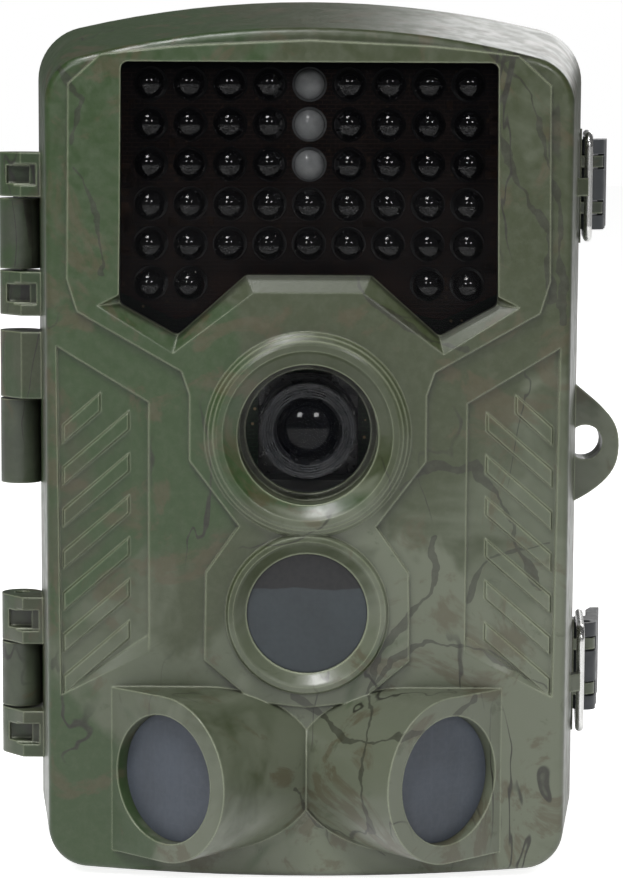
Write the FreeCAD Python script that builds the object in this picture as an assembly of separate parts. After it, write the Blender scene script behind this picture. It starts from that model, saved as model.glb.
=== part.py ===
import FreeCAD, Part
import math
import os

V = FreeCAD.Vector

# Trail camera in two hinged halves. Millimetres, +Z up, the lens looks along -Y.
# X = 0 is the middle of the body, Z = 0 is the face it stands on, and the origin is the
# mouth of the tripod socket under the rear half.

# ---------------------------------------------------------------- driving dimensions
BODY_H = 145.0            # height of the body at the parting plane
BODY_W = 92.2             # width at the parting plane, near the top
SIDE_TAPER = 0.2          # how much narrower each side is near the bottom
TOP_CROWN = 5.5           # how far the top edge falls from its middle to its corners
BASE_CROWN = 1.8          # the same for the base
BASE_DROP = 0.45          # how far that crown is cut flat, to stand on
CORNER_TOP = 9.0
CORNER_BOTTOM = 8.0
FRONT_DEPTH = 27.0        # depth of the front half, without its raised face
REAR_DEPTH = 25.5
PART_Y = -14.0            # parting plane
PART_GAP = 0.3
WALL = 2.2
DRAFT_SIDE = 3.4          # how much the front half narrows on each side towards its face
DRAFT_TOP = 5.0
DRAFT_BASE = 0.9
DRAFT_REAR = 1.6
FACE_EDGE = 1.2           # rounding of the edge round the face
REAR_EDGE = 3.0

PLATEAU_H = 0.9           # raised middle of the face
PANEL_D = 0.7             # sunk side panels
LOUVRE_H = 0.6
LOUVRE_N = 7
LOUVRE_PITCH = 6.92
LOUVRE_W = 3.4

LENS_Z = 74.3
LENS_BEZEL_R = 16.8
LENS_HOLE_R = 11.5
BEZEL_H = 2.0
PIR_Z = 44.85
PIR_WINDOW_R = 9.9
PIR_BEZEL_R = 13.3
TURRET_ANGLE = 42.0
TURRET_X = 23.3           # middle of a side window, from the middle of the body
TURRET_Z = 18.6
TURRET_R = 13.75
TURRET_FOOT_X = 32.1      # where the slanted face meets the face of the body
TURRET_OPEN_R = 10.6
WINDOW_T = 1.2
WINDOW_SUNK = 2.2

LED_R = 2.5
LED_FLANGE_R = 2.85
LED_LEN = 8.6
LED_COLS = 9
LED_PITCH_X = 6.52
LED_PITCH_Z = 6.54
LED_DROP = 13.9           # top row below the top of the body
LED_WINDOW_T = 1.6
LED_WINDOW_CORNER = 1.2
LED_WINDOW_SUNK = 0.6
LED_GAP = 0.5
LED_POST_X = 33.0

LENS_GLASS_T = 1.2
LENS_GLASS_SUNK = 3.6
BARREL_R = 7.9
BARREL_LEN = 10.0
LENS_MODULE_HALF = 8.4

HINGE_SINK = 0.3          # how far a knuckle reaches inside the side of the body
HINGE_R = 3.5
HINGE_PIN_R = 1.2
HINGE_RUN = 0.05          # radial running clearance on the pins
HINGE_CLEAR = 0.35        # end and side clearance between knuckles
# (lowest, highest, half that carries the knuckle)
HINGE_GROUPS = {
    "upper": [(91.8, 99.6, "front"), (99.6, 111.9, "rear"), (111.9, 119.7, "front")],
    "middle": [(62.9, 77.7, "rear"), (77.7, 89.4, "front")],
    "lower": [(15.8, 24.1, "front"), (24.1, 35.5, "rear"), (35.5, 43.9, "front")],
}

LATCH_Z = {"upper": 114.2, "lower": 29.6}
LATCH_ROD_R = 0.7
LATCH_ROD_OUT = 1.1       # rod centre beyond the body's side
LATCH_ROD_Y = -18.3
LATCH_HALF = 8.7          # half the height of the wire loop
LATCH_PIVOT_OUT = 3.0     # lever pin beyond the body's side
LATCH_PIVOT_Y = -4.0
LATCH_ARM = 4.0           # lever pin to wire pivot
LATCH_OVER = 10.0         # degrees past the dead centre
LATCH_PIN_R = 1.0
LEVER_H = 15.5
LEVER_LEN = 15.0
CATCH_H = 3.0
CATCH_GAP = 0.35

LUG_Z = 70.7
LUG_HOLE_OUT = 1.35       # middle of the hole beyond the side of the body
LUG_REACH = 7.1           # edge of the lug beyond the side of the body
LUG_HALF = 10.4
LUG_HOLE_R = 2.95
LUG_T = 3.6               # thickness of each half's lug

SOCKET_R = 3.0            # bore inside the 1/4 inch thread
SOCKET_DEPTH = 9.0
SOCKET_OUTER_R = 4.6
BOSS_R = 6.6

BRACKET_W = 60.0
BRACKET_Z0 = 36.0
BRACKET_H = 74.0
BRACKET_T = 2.4
BRACKET_X = 25.0          # middle of each rail
RAIL_T = 4.0
RAIL_H = 7.2              # how far the rails stand off the back
TOOTH = 1.3
SLOT_H = 28.0             # strap slots
SLOT_W = 4.4
SCREW_R = 1.4
SCREW_HEAD_R = 2.6
SCREW_HEAD_H = 1.6
SCREW_LEN = 6.0
BRACKET_SCREW_LEN = 7.0
POST_R = 3.0              # screw posts
PAD_R = 3.9               # pads under the screw heads
PAD_T = 1.2
SEAL_OUT = 0.65           # seal track, from the outside of the body
SEAL_W = 0.9
SEAL_DEPTH = 1.2
SEAL_PROUD = 0.1

CELL_R = 7.1              # AA cells
CELL_LEN = 49.2
CELL_GAP = 0.5
CELL_Z0 = {"front": 12.6, "rear": 19.4}
CELL_N = 4
BAY_WALL = 1.6
COVER_T = 1.6
COVER_CLEAR = 0.6         # inner covers stay this far inside the parting plane
FIT = 0.25                # slack between a cover and its wall

LCD_W = 46.0
LCD_H = 34.0
LCD_T = 2.6
LCD_Z = 112.0
KEY_R = 3.0
KEY_FOOT = 0.6
KEY_TRAVEL = 0.8
KEY_PITCH = 10.0
KEY_RISE = 8.4
KEY_X = -4.0
KEY_Z = 80.0
SWITCH_X = 27.0
SWITCH_Z = 82.0
CARD_X = 16.0
CARD_Z = 86.5
CARD_W = 11.0
CARD_LEN = 15.0
CARD_T = 1.0
SWITCH_TRAVEL = 3.0
BOARD_T = 1.6
BOARD_ROOM = 3.0          # between the main board and the inner cover
HOLDER_BASE_T = 2.4
FILTER_HALF = 5.5
LCD_EDGE = 2.0
CELL_SUNK = 0.3
BAY_FOOT = 4.2
BAY_HEAD = 2.2
PLATE_T = 0.6
COVER_SCREW_X = 37.4
COVER_SCREW_Z = (12.0, 70.6, 124.0)
TRAY_SCREW_Z = (16.0, 75.5)
STANDOFF_X = 29.0
STANDOFF_Z = (71.0, 127.5)
PORT_Y = -31.0
PORT_Z = WALL + 0.7
PORT_COVER_W = 30.0
PORT_COVER_D = 8.0
PORT_COVER_T = 1.2
PORT_COVER_UP = 0.3

# ---------------------------------------------------------------- derived places
FACE_Y = PART_Y - FRONT_DEPTH
PLATEAU_Y = FACE_Y - PLATEAU_H
BACK_Y = PART_Y + REAR_DEPTH
FRONT_RIM_Y = PART_Y - PART_GAP / 2
REAR_RIM_Y = PART_Y + PART_GAP / 2
FRONT_COVER_Y = PART_Y - COVER_CLEAR - COVER_T     # front side of the front inner cover
REAR_TRAY_Y = PART_Y + COVER_CLEAR                 # front side of the rear tray
HINGE_X = -(BODY_W / 2 + HINGE_R - HINGE_SINK)
HINGE_Y = PART_Y
FACE_HALF = BODY_W / 2 - DRAFT_SIDE                 # half width of the face
LED_TOP_Z = BODY_H - LED_DROP

nodes = {}


# ---------------------------------------------------------------- helpers
def box(x0, x1, y0, y1, z0, z1):
    return Part.makeBox(x1 - x0, y1 - y0, z1 - z0, V(x0, y0, z0))


def rod(r, start, end):
    axis = end - start
    return Part.makeCylinder(r, axis.Length, start, axis)


def rod_y(r, x, z, y0, y1):
    return rod(r, V(x, y0, z), V(x, y1, z))


def rod_z(r, x, y, z0, z1):
    return rod(r, V(x, y, z0), V(x, y, z1))


def prism_y(points, y0, y1, r=0.0):
    """Extrude a closed outline of (x, z) points from y0 to y1, with its corners rounded by r."""
    wire = Part.makePolygon([V(x, y0, z) for x, z in points] + [V(points[0][0], y0, points[0][1])])
    solid = Part.Face(wire).extrude(V(0, y1 - y0, 0))
    if r > 0:
        upright = [e for e in solid.Edges if abs(e.tangentAt(e.FirstParameter).y) > 0.999]
        solid = solid.makeFillet(r, upright)
    return solid


def prism_z(points, z0, z1):
    wire = Part.makePolygon([V(x, y, z0) for x, y in points] + [V(points[0][0], points[0][1], z0)])
    return Part.Face(wire).extrude(V(0, 0, z1 - z0))


def ring_y(profile, x, z):
    """Turn a closed (radius, y) profile round the line through (x, z) along Y."""
    points = [V(x + r, y, z) for r, y in profile]
    face = Part.Face(Part.makePolygon(points + [points[0]]))
    return face.revolve(V(x, 0, z), V(0, 1, 0), 360)


def mirror_x(shape):
    return shape.mirror(V(0, 0, 0), V(1, 0, 0))


def both_sides(points):
    """A closed outline from its right half, given from the top down."""
    return points + [(-x, z) for x, z in reversed(points) if abs(x) > 1e-6]


def lug_x():
    """Middle of the padlock hole."""
    return side_x(LUG_Z) + LUG_HOLE_OUT


def side_x(z, inset=0.0):
    """Half width of the body at the parting plane at height z."""
    top_z = BODY_H - TOP_CROWN - CORNER_TOP
    share = (z - CORNER_BOTTOM) / (top_z - CORNER_BOTTOM)
    return BODY_W / 2 - SIDE_TAPER * (1 - share) - inset


def blend_corner(side, side_dir, centre, big_r, r):
    """Centre of a rounding of radius r inside both a straight side and a big arc, in (x, z)."""
    nx, nz = side_dir[1], -side_dir[0]
    if nx * (centre[0] - side[0]) + nz * (centre[1] - side[1]) < 0:
        nx, nz = -nx, -nz
    px, pz = side[0] + nx * r - centre[0], side[1] + nz * r - centre[1]
    along = px * side_dir[0] + pz * side_dir[1]
    reach = (big_r - r) ** 2 - (px * px + pz * pz - along * along)
    step = -along + math.sqrt(reach)
    return (side[0] + nx * r + side_dir[0] * step, side[1] + nz * r + side_dir[1] * step), (nx, nz)


def outline(y, inset_side, inset_top, inset_bottom=0.0):
    """The body's outline at one depth: crowned top, slightly crowned base, tapered sides."""
    top = BODY_H - inset_top
    base = inset_bottom - BASE_DROP
    half_top = BODY_W / 2 - inset_side
    half_base = half_top - SIDE_TAPER
    span = half_top - CORNER_TOP / 3
    big_top = (span * span + TOP_CROWN * TOP_CROWN) / (2 * TOP_CROWN)
    big_base = (span * span + BASE_CROWN * BASE_CROWN) / (2 * BASE_CROWN)
    low = (half_base, base + CORNER_BOTTOM)
    high = (half_top, top - TOP_CROWN - CORNER_TOP)
    length = math.hypot(high[0] - low[0], high[1] - low[1])
    up = ((high[0] - low[0]) / length, (high[1] - low[1]) / length)
    r_top = max(CORNER_TOP - min(inset_side, inset_top) * 0.4, 1.0)
    r_base = max(CORNER_BOTTOM - inset_side * 0.4, 1.0)
    c_top = (0.0, top - big_top)
    c_base = (0.0, base + big_base)
    k_top, normal = blend_corner(low, up, c_top, big_top, r_top)
    down = (-up[0], -up[1])
    k_base, _ = blend_corner(low, down, c_base, big_base, r_base)

    def on_arc(k, c, big, r):
        d = math.hypot(k[0] - c[0], k[1] - c[1])
        return (k[0] + (k[0] - c[0]) / d * r, k[1] + (k[1] - c[1]) / d * r)

    def mid(k, a, b, r):
        mx, mz = (a[0] + b[0]) / 2 - k[0], (a[1] + b[1]) / 2 - k[1]
        d = math.hypot(mx, mz)
        return (k[0] + mx / d * r, k[1] + mz / d * r)

    side_hi = (k_top[0] - normal[0] * r_top, k_top[1] - normal[1] * r_top)
    arc_hi = on_arc(k_top, c_top, big_top, r_top)
    side_lo = (k_base[0] - normal[0] * r_base, k_base[1] - normal[1] * r_base)
    arc_lo = on_arc(k_base, c_base, big_base, r_base)
    mid_hi = mid(k_top, side_hi, arc_hi, r_top)
    mid_lo = mid(k_base, side_lo, arc_lo, r_base)

    def p(q, sign=1):
        return V(sign * q[0], y, q[1])

    edges = [
        Part.Arc(p(arc_hi, -1), V(0, y, top), p(arc_hi)),
        Part.Arc(p(arc_hi), p(mid_hi), p(side_hi)),
        Part.LineSegment(p(side_hi), p(side_lo)),
        Part.Arc(p(side_lo), p(mid_lo), p(arc_lo)),
        Part.Arc(p(arc_lo), V(0, y, base), p(arc_lo, -1)),
        Part.Arc(p(arc_lo, -1), p(mid_lo, -1), p(side_lo, -1)),
        Part.LineSegment(p(side_lo, -1), p(side_hi, -1)),
        Part.Arc(p(side_hi, -1), p(mid_hi, -1), p(arc_hi, -1)),
    ]
    return Part.Wire([e.toShape() for e in edges])


def loft(a, b):
    return Part.makeLoft([a, b], True, True)


def front_section(y, inset):
    """The front half's outline at depth y, moved in by inset."""
    share = (PART_Y - y) / FRONT_DEPTH
    return outline(y, inset + DRAFT_SIDE * share, inset + DRAFT_TOP * share, inset + DRAFT_BASE * share)


def rear_section(y, inset):
    """The rear half's outline at depth y, moved in by inset."""
    share = (y - PART_Y) / REAR_DEPTH
    return outline(y, inset + DRAFT_REAR * share, inset + DRAFT_REAR * share, inset)


def front_block(inset, y0, y1):
    return loft(front_section(y0, inset), front_section(y1, inset))


def rear_block(inset, y0, y1):
    return loft(rear_section(y0, inset), rear_section(y1, inset))


def above_base(shape):
    """Cut the crowned base flat where it touches the ground."""
    return shape.cut(box(-BODY_W, BODY_W, -BODY_H, BODY_H, -BODY_H, 0))


# ---------------------------------------------------------------- face outlines
def plateau_points(inset=0.0):
    i = inset
    top, side = BODY_H - 6.9, FACE_HALF - 3.5
    return both_sides([
        (0.0, top - i), (side * 0.51, top - 0.9 - i),
        (side - 5.6, top - 2.3 - i), (side - 0.3 - i, top - 7.1 - i),
        (side - i, 99.5), (side - 1.6 - i, 94.3 + i * 0.5), (20.6 - i * 0.5, 84.6 + i),
        (19.3 - i, 80.8), (19.3 - i, 70.0), (11.2 - i, 59.3), (16.6 - i, 51.6),
        (16.8 - i, 37.0), (8.8, 30.2 + i), (0.0, 29.2 + i),
    ])


def led_window_points(grow=0.0):
    g = grow
    return both_sides([
        (0.0, BODY_H - 10.4 + g), (30.4 + g, BODY_H - 10.4 + g), (30.7 + g, 95.6 - g * 0.55),
        (21.3 + g * 0.25, 90.4 - g), (10.2 + g * 0.55, 100.3 - g), (0.0, 100.3 - g),
    ])


def panel_points(inset=0.0):
    i = inset
    out = FACE_HALF - 1.7
    return [
        (26.0 + i, 79.5 - i), (out - i, 88.6 - i * 1.4),
        (out - 0.6 - i, 31.4 + i), (26.0 + i, 41.0 + i),
    ]


def turret_frame():
    """Middle of the right side window's slanted face, its outward normal and its inboard direction."""
    angle = math.radians(TURRET_ANGLE)
    normal = V(math.sin(angle), -math.cos(angle), 0)
    inboard = V(-math.cos(angle), -math.sin(angle), 0)
    foot = V(TURRET_FOOT_X, FACE_Y, TURRET_Z)
    reach = (TURRET_FOOT_X - TURRET_X) / math.cos(angle)
    return foot + inboard * reach, normal, inboard, reach


def turret_body(r, back, face_shift=0.0):
    """Round-nosed block of radius r behind the slanted face, reaching back along its axis."""
    centre, normal, inboard, reach = turret_frame()
    front = centre + normal * face_shift
    nose = rod(r, front, front - normal * back)
    up = V(0, 0, 1)
    a, b = front + up * r, front - up * r
    out = inboard * (-(reach + 6.0))
    plate = Part.Face(Part.makePolygon([a, b, b + out, a + out, a])).extrude(normal * -back)
    return nose.fuse(plate).removeSplitter()


# ---------------------------------------------------------------- front half, outer parts
def louvre(side_z, full_rise):
    """One raised slash: its outer lower end at side_z, climbing towards the middle of the face."""
    run, rise = 11.2, 9.5
    share = full_rise
    x0 = FACE_HALF - 2.5
    x1 = x0 - run * share
    z1 = side_z + rise * share
    foot = [(x0, side_z), (x1, z1), (x1, z1 - LOUVRE_W), (x0, side_z - LOUVRE_W)]
    top = 0.35
    crest = [(x0 - top, side_z - top * 0.6), (x1 + top, z1 - top * 1.5),
             (x1 + top, z1 - LOUVRE_W + top * 0.6), (x0 - top, side_z - LOUVRE_W + top * 1.5)]
    floor_y = FACE_Y + PANEL_D
    low = Part.makePolygon([V(x, floor_y + 0.3, z) for x, z in foot + foot[:1]])
    high = Part.makePolygon([V(x, floor_y - LOUVRE_H, z) for x, z in crest + crest[:1]])
    return Part.makeLoft([low, high], True, True)


def knuckle(z0, z1, half):
    """One hinge knuckle with its web, carried by the front or the rear half."""
    sign = -1 if half == "front" else 1
    z0, z1 = z0 + HINGE_CLEAR / 2, z1 - HINGE_CLEAR / 2
    inner = -side_x((z0 + z1) / 2) + 0.8
    barrel = rod_z(HINGE_R, HINGE_X, HINGE_Y, z0, z1)
    y_out = HINGE_Y + sign * (HINGE_R + 2.6)
    web = prism_z([
        (HINGE_X - HINGE_R * 0.72, HINGE_Y + sign * HINGE_R * 0.70),
        (HINGE_X, HINGE_Y + sign * PART_GAP / 2),
        (inner, HINGE_Y + sign * PART_GAP / 2),
        (inner, y_out), (HINGE_X + 0.6, y_out),
    ], z0, z1)
    return barrel.fuse(web)


def hinge_relief(half):
    """Room round the other half's knuckles."""
    cuts = []
    for group in HINGE_GROUPS.values():
        for z0, z1, owner in group:
            if owner != half:
                low, high = z0 - HINGE_CLEAR / 2, z1 + HINGE_CLEAR / 2
                cuts.append(rod_z(HINGE_R + HINGE_CLEAR, HINGE_X, HINGE_Y, low, high))
    return cuts


def hinge_knuckles(half):
    shapes = []
    for group in HINGE_GROUPS.values():
        for z0, z1, owner in group:
            if owner == half:
                shapes.append(knuckle(z0, z1, half))
    return shapes


def hinge_pockets():
    """The hollow middle of the front knuckles of the upper and the lower hinge."""
    cuts = []
    for name in ("upper", "lower"):
        for z0, z1, owner in HINGE_GROUPS[name]:
            if owner == "front":
                mid = (z0 + z1) / 2
                cuts.append(box(HINGE_X + HINGE_PIN_R - 3.2, HINGE_X + 2.0, HINGE_Y - HINGE_R - 3.0,
                                HINGE_Y - HINGE_PIN_R - 0.9, mid - 1.5, mid + 1.5))
                cuts.append(box(HINGE_X - HINGE_R - 1.0, -side_x(mid), HINGE_Y - HINGE_R - 3.0,
                                HINGE_Y - HINGE_R - 1.1, mid - 1.8, mid + 1.8))
    return cuts


def lug(half):
    """Half of the padlock lug."""
    sign = -1 if half == "front" else 1
    y0 = PART_Y + sign * PART_GAP / 2
    inner = side_x(LUG_Z) - 1.0
    tip = side_x(LUG_Z) + LUG_REACH
    points = [(inner, LUG_Z + LUG_HALF), (tip - 3.4, LUG_Z + LUG_HALF * 0.62),
              (tip - 0.6, LUG_Z + LUG_HALF * 0.28), (tip, LUG_Z - LUG_HALF * 0.05),
              (tip - 0.6, LUG_Z - LUG_HALF * 0.38), (tip - 3.4, LUG_Z - LUG_HALF * 0.72),
              (inner, LUG_Z - LUG_HALF)]
    a = [V(x, y0, z) for x, z in points]
    curve = Part.BSplineCurve()
    curve.interpolate(a)
    wire = Part.Wire([curve.toShape(), Part.LineSegment(a[-1], a[0]).toShape()])
    tab = Part.Face(wire).extrude(V(0, sign * LUG_T, 0))
    return tab.cut(rod_y(LUG_HOLE_R, lug_x(), LUG_Z, PART_Y - LUG_T - 2, PART_Y + LUG_T + 2))


def catch(name):
    """The front half's catch lip for one latch, in front of the wire."""
    z = LATCH_Z[name]
    wall = side_x(z)
    rod_x = wall + LATCH_ROD_OUT
    back = LATCH_ROD_Y - LATCH_ROD_R - CATCH_GAP
    lip = prism_z([(wall - 2.5, back - 4.2), (rod_x - 0.9, back - 1.9), (rod_x - 0.2, back - 1.4),
                   (rod_x - 0.1, back - 0.25), (rod_x - 0.35, back), (wall - 2.5, back)],
                  z - CATCH_H / 2, z + CATCH_H / 2)
    return lip


def lens_bezel():
    face = PLATEAU_Y
    return ring_y([
        (LENS_BEZEL_R, face + 0.6), (LENS_BEZEL_R, face - 0.5), (16.35, face - 0.85), (16.2, face - 0.85),
        (16.2, face - 1.2), (15.6, face - 1.55), (15.45, face - 1.55), (15.45, face - 1.8),
        (14.9, face - BEZEL_H), (13.9, face - BEZEL_H + 0.1), (13.4, face - BEZEL_H + 0.55),
        (LENS_HOLE_R + 0.2, face - 0.2), (LENS_HOLE_R, face + 0.6),
    ], 0, LENS_Z)


def pir_bezel():
    face = PLATEAU_Y
    return ring_y([
        (PIR_BEZEL_R, face + 0.6), (PIR_BEZEL_R, face - 0.9), (12.9, face - 1.4), (12.1, face - 1.5),
        (11.7, face - 1.3), (PIR_WINDOW_R + 0.25, face - 0.1), (PIR_WINDOW_R + 0.1, face + 0.6),
    ], 0, PIR_Z)


def make_front_case():
    outer = front_block(0.0, FACE_Y, FRONT_RIM_Y)
    rim = [e for e in outer.Edges if abs(e.CenterOfMass.y - FACE_Y) < 0.01 and e.BoundBox.YLength < 0.01]
    outer = outer.makeFillet(FACE_EDGE, rim)
    hollow = front_block(WALL, FACE_Y + WALL, FRONT_RIM_Y)
    right_panel = prism_y(panel_points(), FACE_Y - 1, FACE_Y + PANEL_D)
    wedge_x = FACE_HALF - 2.3
    wedge = Part.makeLoft([
        Part.makePolygon([V(x, FACE_Y + PANEL_D, z) for x, z in
                          [(26.0, 41.6), (26.0, 43.4), (wedge_x, 31.6), (wedge_x, 31.5), (26.0, 41.6)]]),
        Part.makePolygon([V(x, FACE_Y - 0.01, z) for x, z in
                          [(26.0, 38.2), (26.0, 43.4), (wedge_x, 31.6), (wedge_x, 30.9), (26.0, 38.2)]]),
    ], True, True)
    louvres = [louvre(75.7 - LOUVRE_PITCH * i, 0.58 if i == 0 else 1.0) for i in range(LOUVRE_N)]
    shell = outer.cut(hollow)
    seat_back = FACE_Y + LENS_GLASS_SUNK + LENS_GLASS_T + 1.4
    inner_lens = rod_y(LENS_HOLE_R + WALL, 0, LENS_Z, FACE_Y + 0.2, seat_back)
    posts = [rod_y(POST_R, x, z, FACE_Y + 1.0, FRONT_COVER_Y - PAD_T) for x, z in cover_screw_places()]
    led_posts = [rod_y(1.3, x, z, FACE_Y + 1.0, led_tip_y() + LED_LEN)
                 for x in (-LED_POST_X, LED_POST_X) for z in (102.0, LED_TOP_Z - 2.0)]
    sill = box(-PORT_COVER_W / 2 - 2, PORT_COVER_W / 2 + 2, PORT_Y - PORT_COVER_D / 2 - 2,
               PORT_Y + PORT_COVER_D / 2 + 2, 0.5, PORT_Z)
    shell = shell.fuse([inner_lens, sill] + posts + led_posts)
    for flip in (False, True):
        for cutter in (right_panel, wedge):
            shell = shell.cut(mirror_x(cutter) if flip else cutter)
    plateau = prism_y(plateau_points(), PLATEAU_Y, FACE_Y + 0.3)
    turrets = []
    for flip in (False, True):
        body = turret_body(TURRET_R, 40.0)
        body = body.common(box(-0.001, 60, -70, FACE_Y + 1.0, -10, 60))
        turrets.append(mirror_x(body) if flip else body)
    ribs = louvres + [mirror_x(s) for s in louvres]
    shell = shell.fuse([plateau, lens_bezel(), pir_bezel()] + turrets + ribs)
    # openings
    window = prism_y(led_window_points(), PLATEAU_Y - 1, FACE_Y + WALL + 1, LED_WINDOW_CORNER)
    bevel = Part.makeLoft([
        Part.makePolygon([V(x, PLATEAU_Y - 0.02, z) for x, z in led_bevel_points(2.9)]),
        Part.makePolygon([V(x, PLATEAU_Y + 1.5, z) for x, z in led_bevel_points(0.05)]),
    ], True, True)
    shell = shell.cut([window, bevel])
    shell = shell.cut([
        rod_y(LENS_HOLE_R, 0, LENS_Z, PLATEAU_Y - 5, FACE_Y + LENS_GLASS_SUNK),
        rod_y(LENS_HOLE_R - 1.2, 0, LENS_Z, FACE_Y + LENS_GLASS_SUNK - 0.1, FACE_Y + 12),
        rod_y(LENS_HOLE_R, 0, LENS_Z, FACE_Y + LENS_GLASS_SUNK, FACE_Y + LENS_GLASS_SUNK + LENS_GLASS_T),
        rod_y(PIR_WINDOW_R, 0, PIR_Z, PLATEAU_Y - 3, FACE_Y + WALL + 1),
    ])
    for flip in (False, True):
        centre, normal, _, _ = turret_frame()
        cuts = [rod(TURRET_OPEN_R, centre + normal * 2, centre - normal * (WINDOW_SUNK + WINDOW_T)),
                rod(TURRET_OPEN_R - 1.0, centre, centre - normal * 12.0)]
        inside = turret_body(TURRET_R - 1.9, 40.0, -(WINDOW_SUNK + WINDOW_T + 1.4))
        inside = inside.common(box(WALL / 2, 60, -70, FACE_Y + WALL + 0.5, -10, 60))
        inside = inside.common(box(0, TURRET_FOOT_X - 1.0, -70, 0, -10, 60))
        for cutter in cuts + [inside]:
            shell = shell.cut(mirror_x(cutter) if flip else cutter)
    shell = shell.fuse([lug("front"), catch("upper"), catch("lower")] + hinge_knuckles("front"))
    shell = shell.cut(hinge_relief("front") + hinge_pockets())
    cuts = [rod_z(HINGE_PIN_R + HINGE_RUN, HINGE_X, HINGE_Y, 0, BODY_H)] + port_cuts()
    screw_end = FRONT_COVER_Y - SCREW_LEN - 1
    cuts += [rod_y(SCREW_R, x, z, screw_end, FRONT_COVER_Y) for x, z in cover_screw_places()]
    return above_base(shell.cut(cuts))


def led_bevel_points(g):
    """The lower edge of the LED window, widened downwards by g, closed above the window's middle."""
    right = [(0.0, 108.0), (30.6, 108.0), (30.75, 97.0), (30.75 + g * 1.25, 95.6 - g * 0.12),
             (21.3 + g * 0.25, 90.4 - g), (10.2 - g * 0.45, 100.3 - g), (0.0, 100.3 - g)]
    loop = both_sides(right)
    return loop + loop[:1]


# ---------------------------------------------------------------- rear half, outer parts
def latch_points(name):
    """Rod, lever pin and wire pivot of one latch, in (x, y)."""
    wall = side_x(LATCH_Z[name])
    over = math.radians(LATCH_OVER)
    pin = (wall + LATCH_PIVOT_OUT, LATCH_PIVOT_Y)
    pivot = (pin[0] - LATCH_ARM * math.sin(over), pin[1] + LATCH_ARM * math.cos(over))
    return (wall + LATCH_ROD_OUT, LATCH_ROD_Y), pin, pivot


def latch_seat(name):
    """Ears on the rear half that carry the lever pin, and the block that the wire lies over."""
    z = LATCH_Z[name]
    wall = side_x(z)
    _, pin, _ = latch_points(name)
    ears = []
    for low in (z - 5.0, z + 3.0):
        ear = prism_z([
            (wall - 3.0, pin[1] - 3.4), (pin[0] - 0.4, pin[1] - 1.9),
            (pin[0] - 0.4, pin[1] + 1.9), (wall - 3.0, pin[1] + 3.4),
        ], low, low + 2.0)
        ears.append(ear.fuse(rod_z(1.9, pin[0], pin[1], low, low + 2.0)))
    reach = LATCH_HALF + 1.0
    block = box(wall - 2.0, wall + 0.3, REAR_RIM_Y, PART_Y + 5.6, z - reach, z + reach)
    return [block] + ears


def make_rear_case():
    outer = rear_block(0.0, REAR_RIM_Y, BACK_Y)
    back = [e for e in outer.Edges if abs(e.CenterOfMass.y - BACK_Y) < 0.01 and e.BoundBox.YLength < 0.01]
    outer = outer.makeFillet(REAR_EDGE, back)
    hollow = rear_block(WALL, REAR_RIM_Y, BACK_Y - WALL)
    shell = outer.cut(hollow)
    boss = rod_z(BOSS_R, 0, 0, 0.2, SOCKET_DEPTH + 1.2)
    add = [lug("rear"), boss] + hinge_knuckles("rear")
    for name in LATCH_Z:
        add += latch_seat(name)
    for x, z in tray_screw_places():
        add.append(rod_y(POST_R, x, z, REAR_TRAY_Y + COVER_T + PAD_T, BACK_Y - WALL / 2))
    for x, z in bracket_screw_places():
        add.append(rod_y(POST_R, x, z, BACK_Y - BRACKET_SCREW_LEN, BACK_Y - WALL / 2))
    shell = shell.fuse(add)
    cuts = hinge_relief("rear") + [rod_z(HINGE_PIN_R, HINGE_X, HINGE_Y, -5, BODY_H)]
    cuts.append(rod_z(SOCKET_OUTER_R, 0, 0, -1, SOCKET_DEPTH))
    for name in LATCH_Z:
        _, pin, _ = latch_points(name)
        z = LATCH_Z[name]
        cuts.append(rod_z(LATCH_PIN_R, pin[0], pin[1], z - LEVER_H, z + LEVER_H))
    for x, z in bracket_screw_places():
        cuts.append(rod_y(SCREW_R, x, z, BACK_Y + BRACKET_T - BRACKET_SCREW_LEN, BACK_Y + 1))
    for x, z in tray_screw_places():
        cuts.append(rod_y(SCREW_R, x, z, REAR_TRAY_Y, REAR_TRAY_Y + COVER_T + SCREW_LEN))
    cuts.append(seal_ring(REAR_RIM_Y - 1.0))
    return above_base(shell.cut(cuts))


def seal_ring(y0):
    """The seal's track in the rear half's rim, from y0 to the bottom of its groove."""
    y1 = REAR_RIM_Y + SEAL_DEPTH
    outer = loft(outline(y0, SEAL_OUT, SEAL_OUT, SEAL_OUT), outline(y1, SEAL_OUT, SEAL_OUT, SEAL_OUT))
    inset = SEAL_OUT + SEAL_W
    return outer.cut(loft(outline(y0 - 1, inset, inset, inset), outline(y1 + 1, inset, inset, inset)))


def make_seal():
    """The seal, open where the front half's knuckles turn in front of it."""
    keep_out = []
    for z0, z1, owner in [knuckle_row for group in HINGE_GROUPS.values() for knuckle_row in group]:
        if owner == "front":
            keep_out.append(rod_z(HINGE_R + HINGE_CLEAR + 0.1, HINGE_X, HINGE_Y, z0 - 1, z1 + 1))
    return seal_ring(REAR_RIM_Y - SEAL_PROUD).cut(keep_out)


def bracket_screw_places():
    z0, z1 = BRACKET_Z0 + 6.0, BRACKET_Z0 + BRACKET_H - 6.0
    return [(x, z) for x in (-12.0, 12.0) for z in (z0, z1)]


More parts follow.
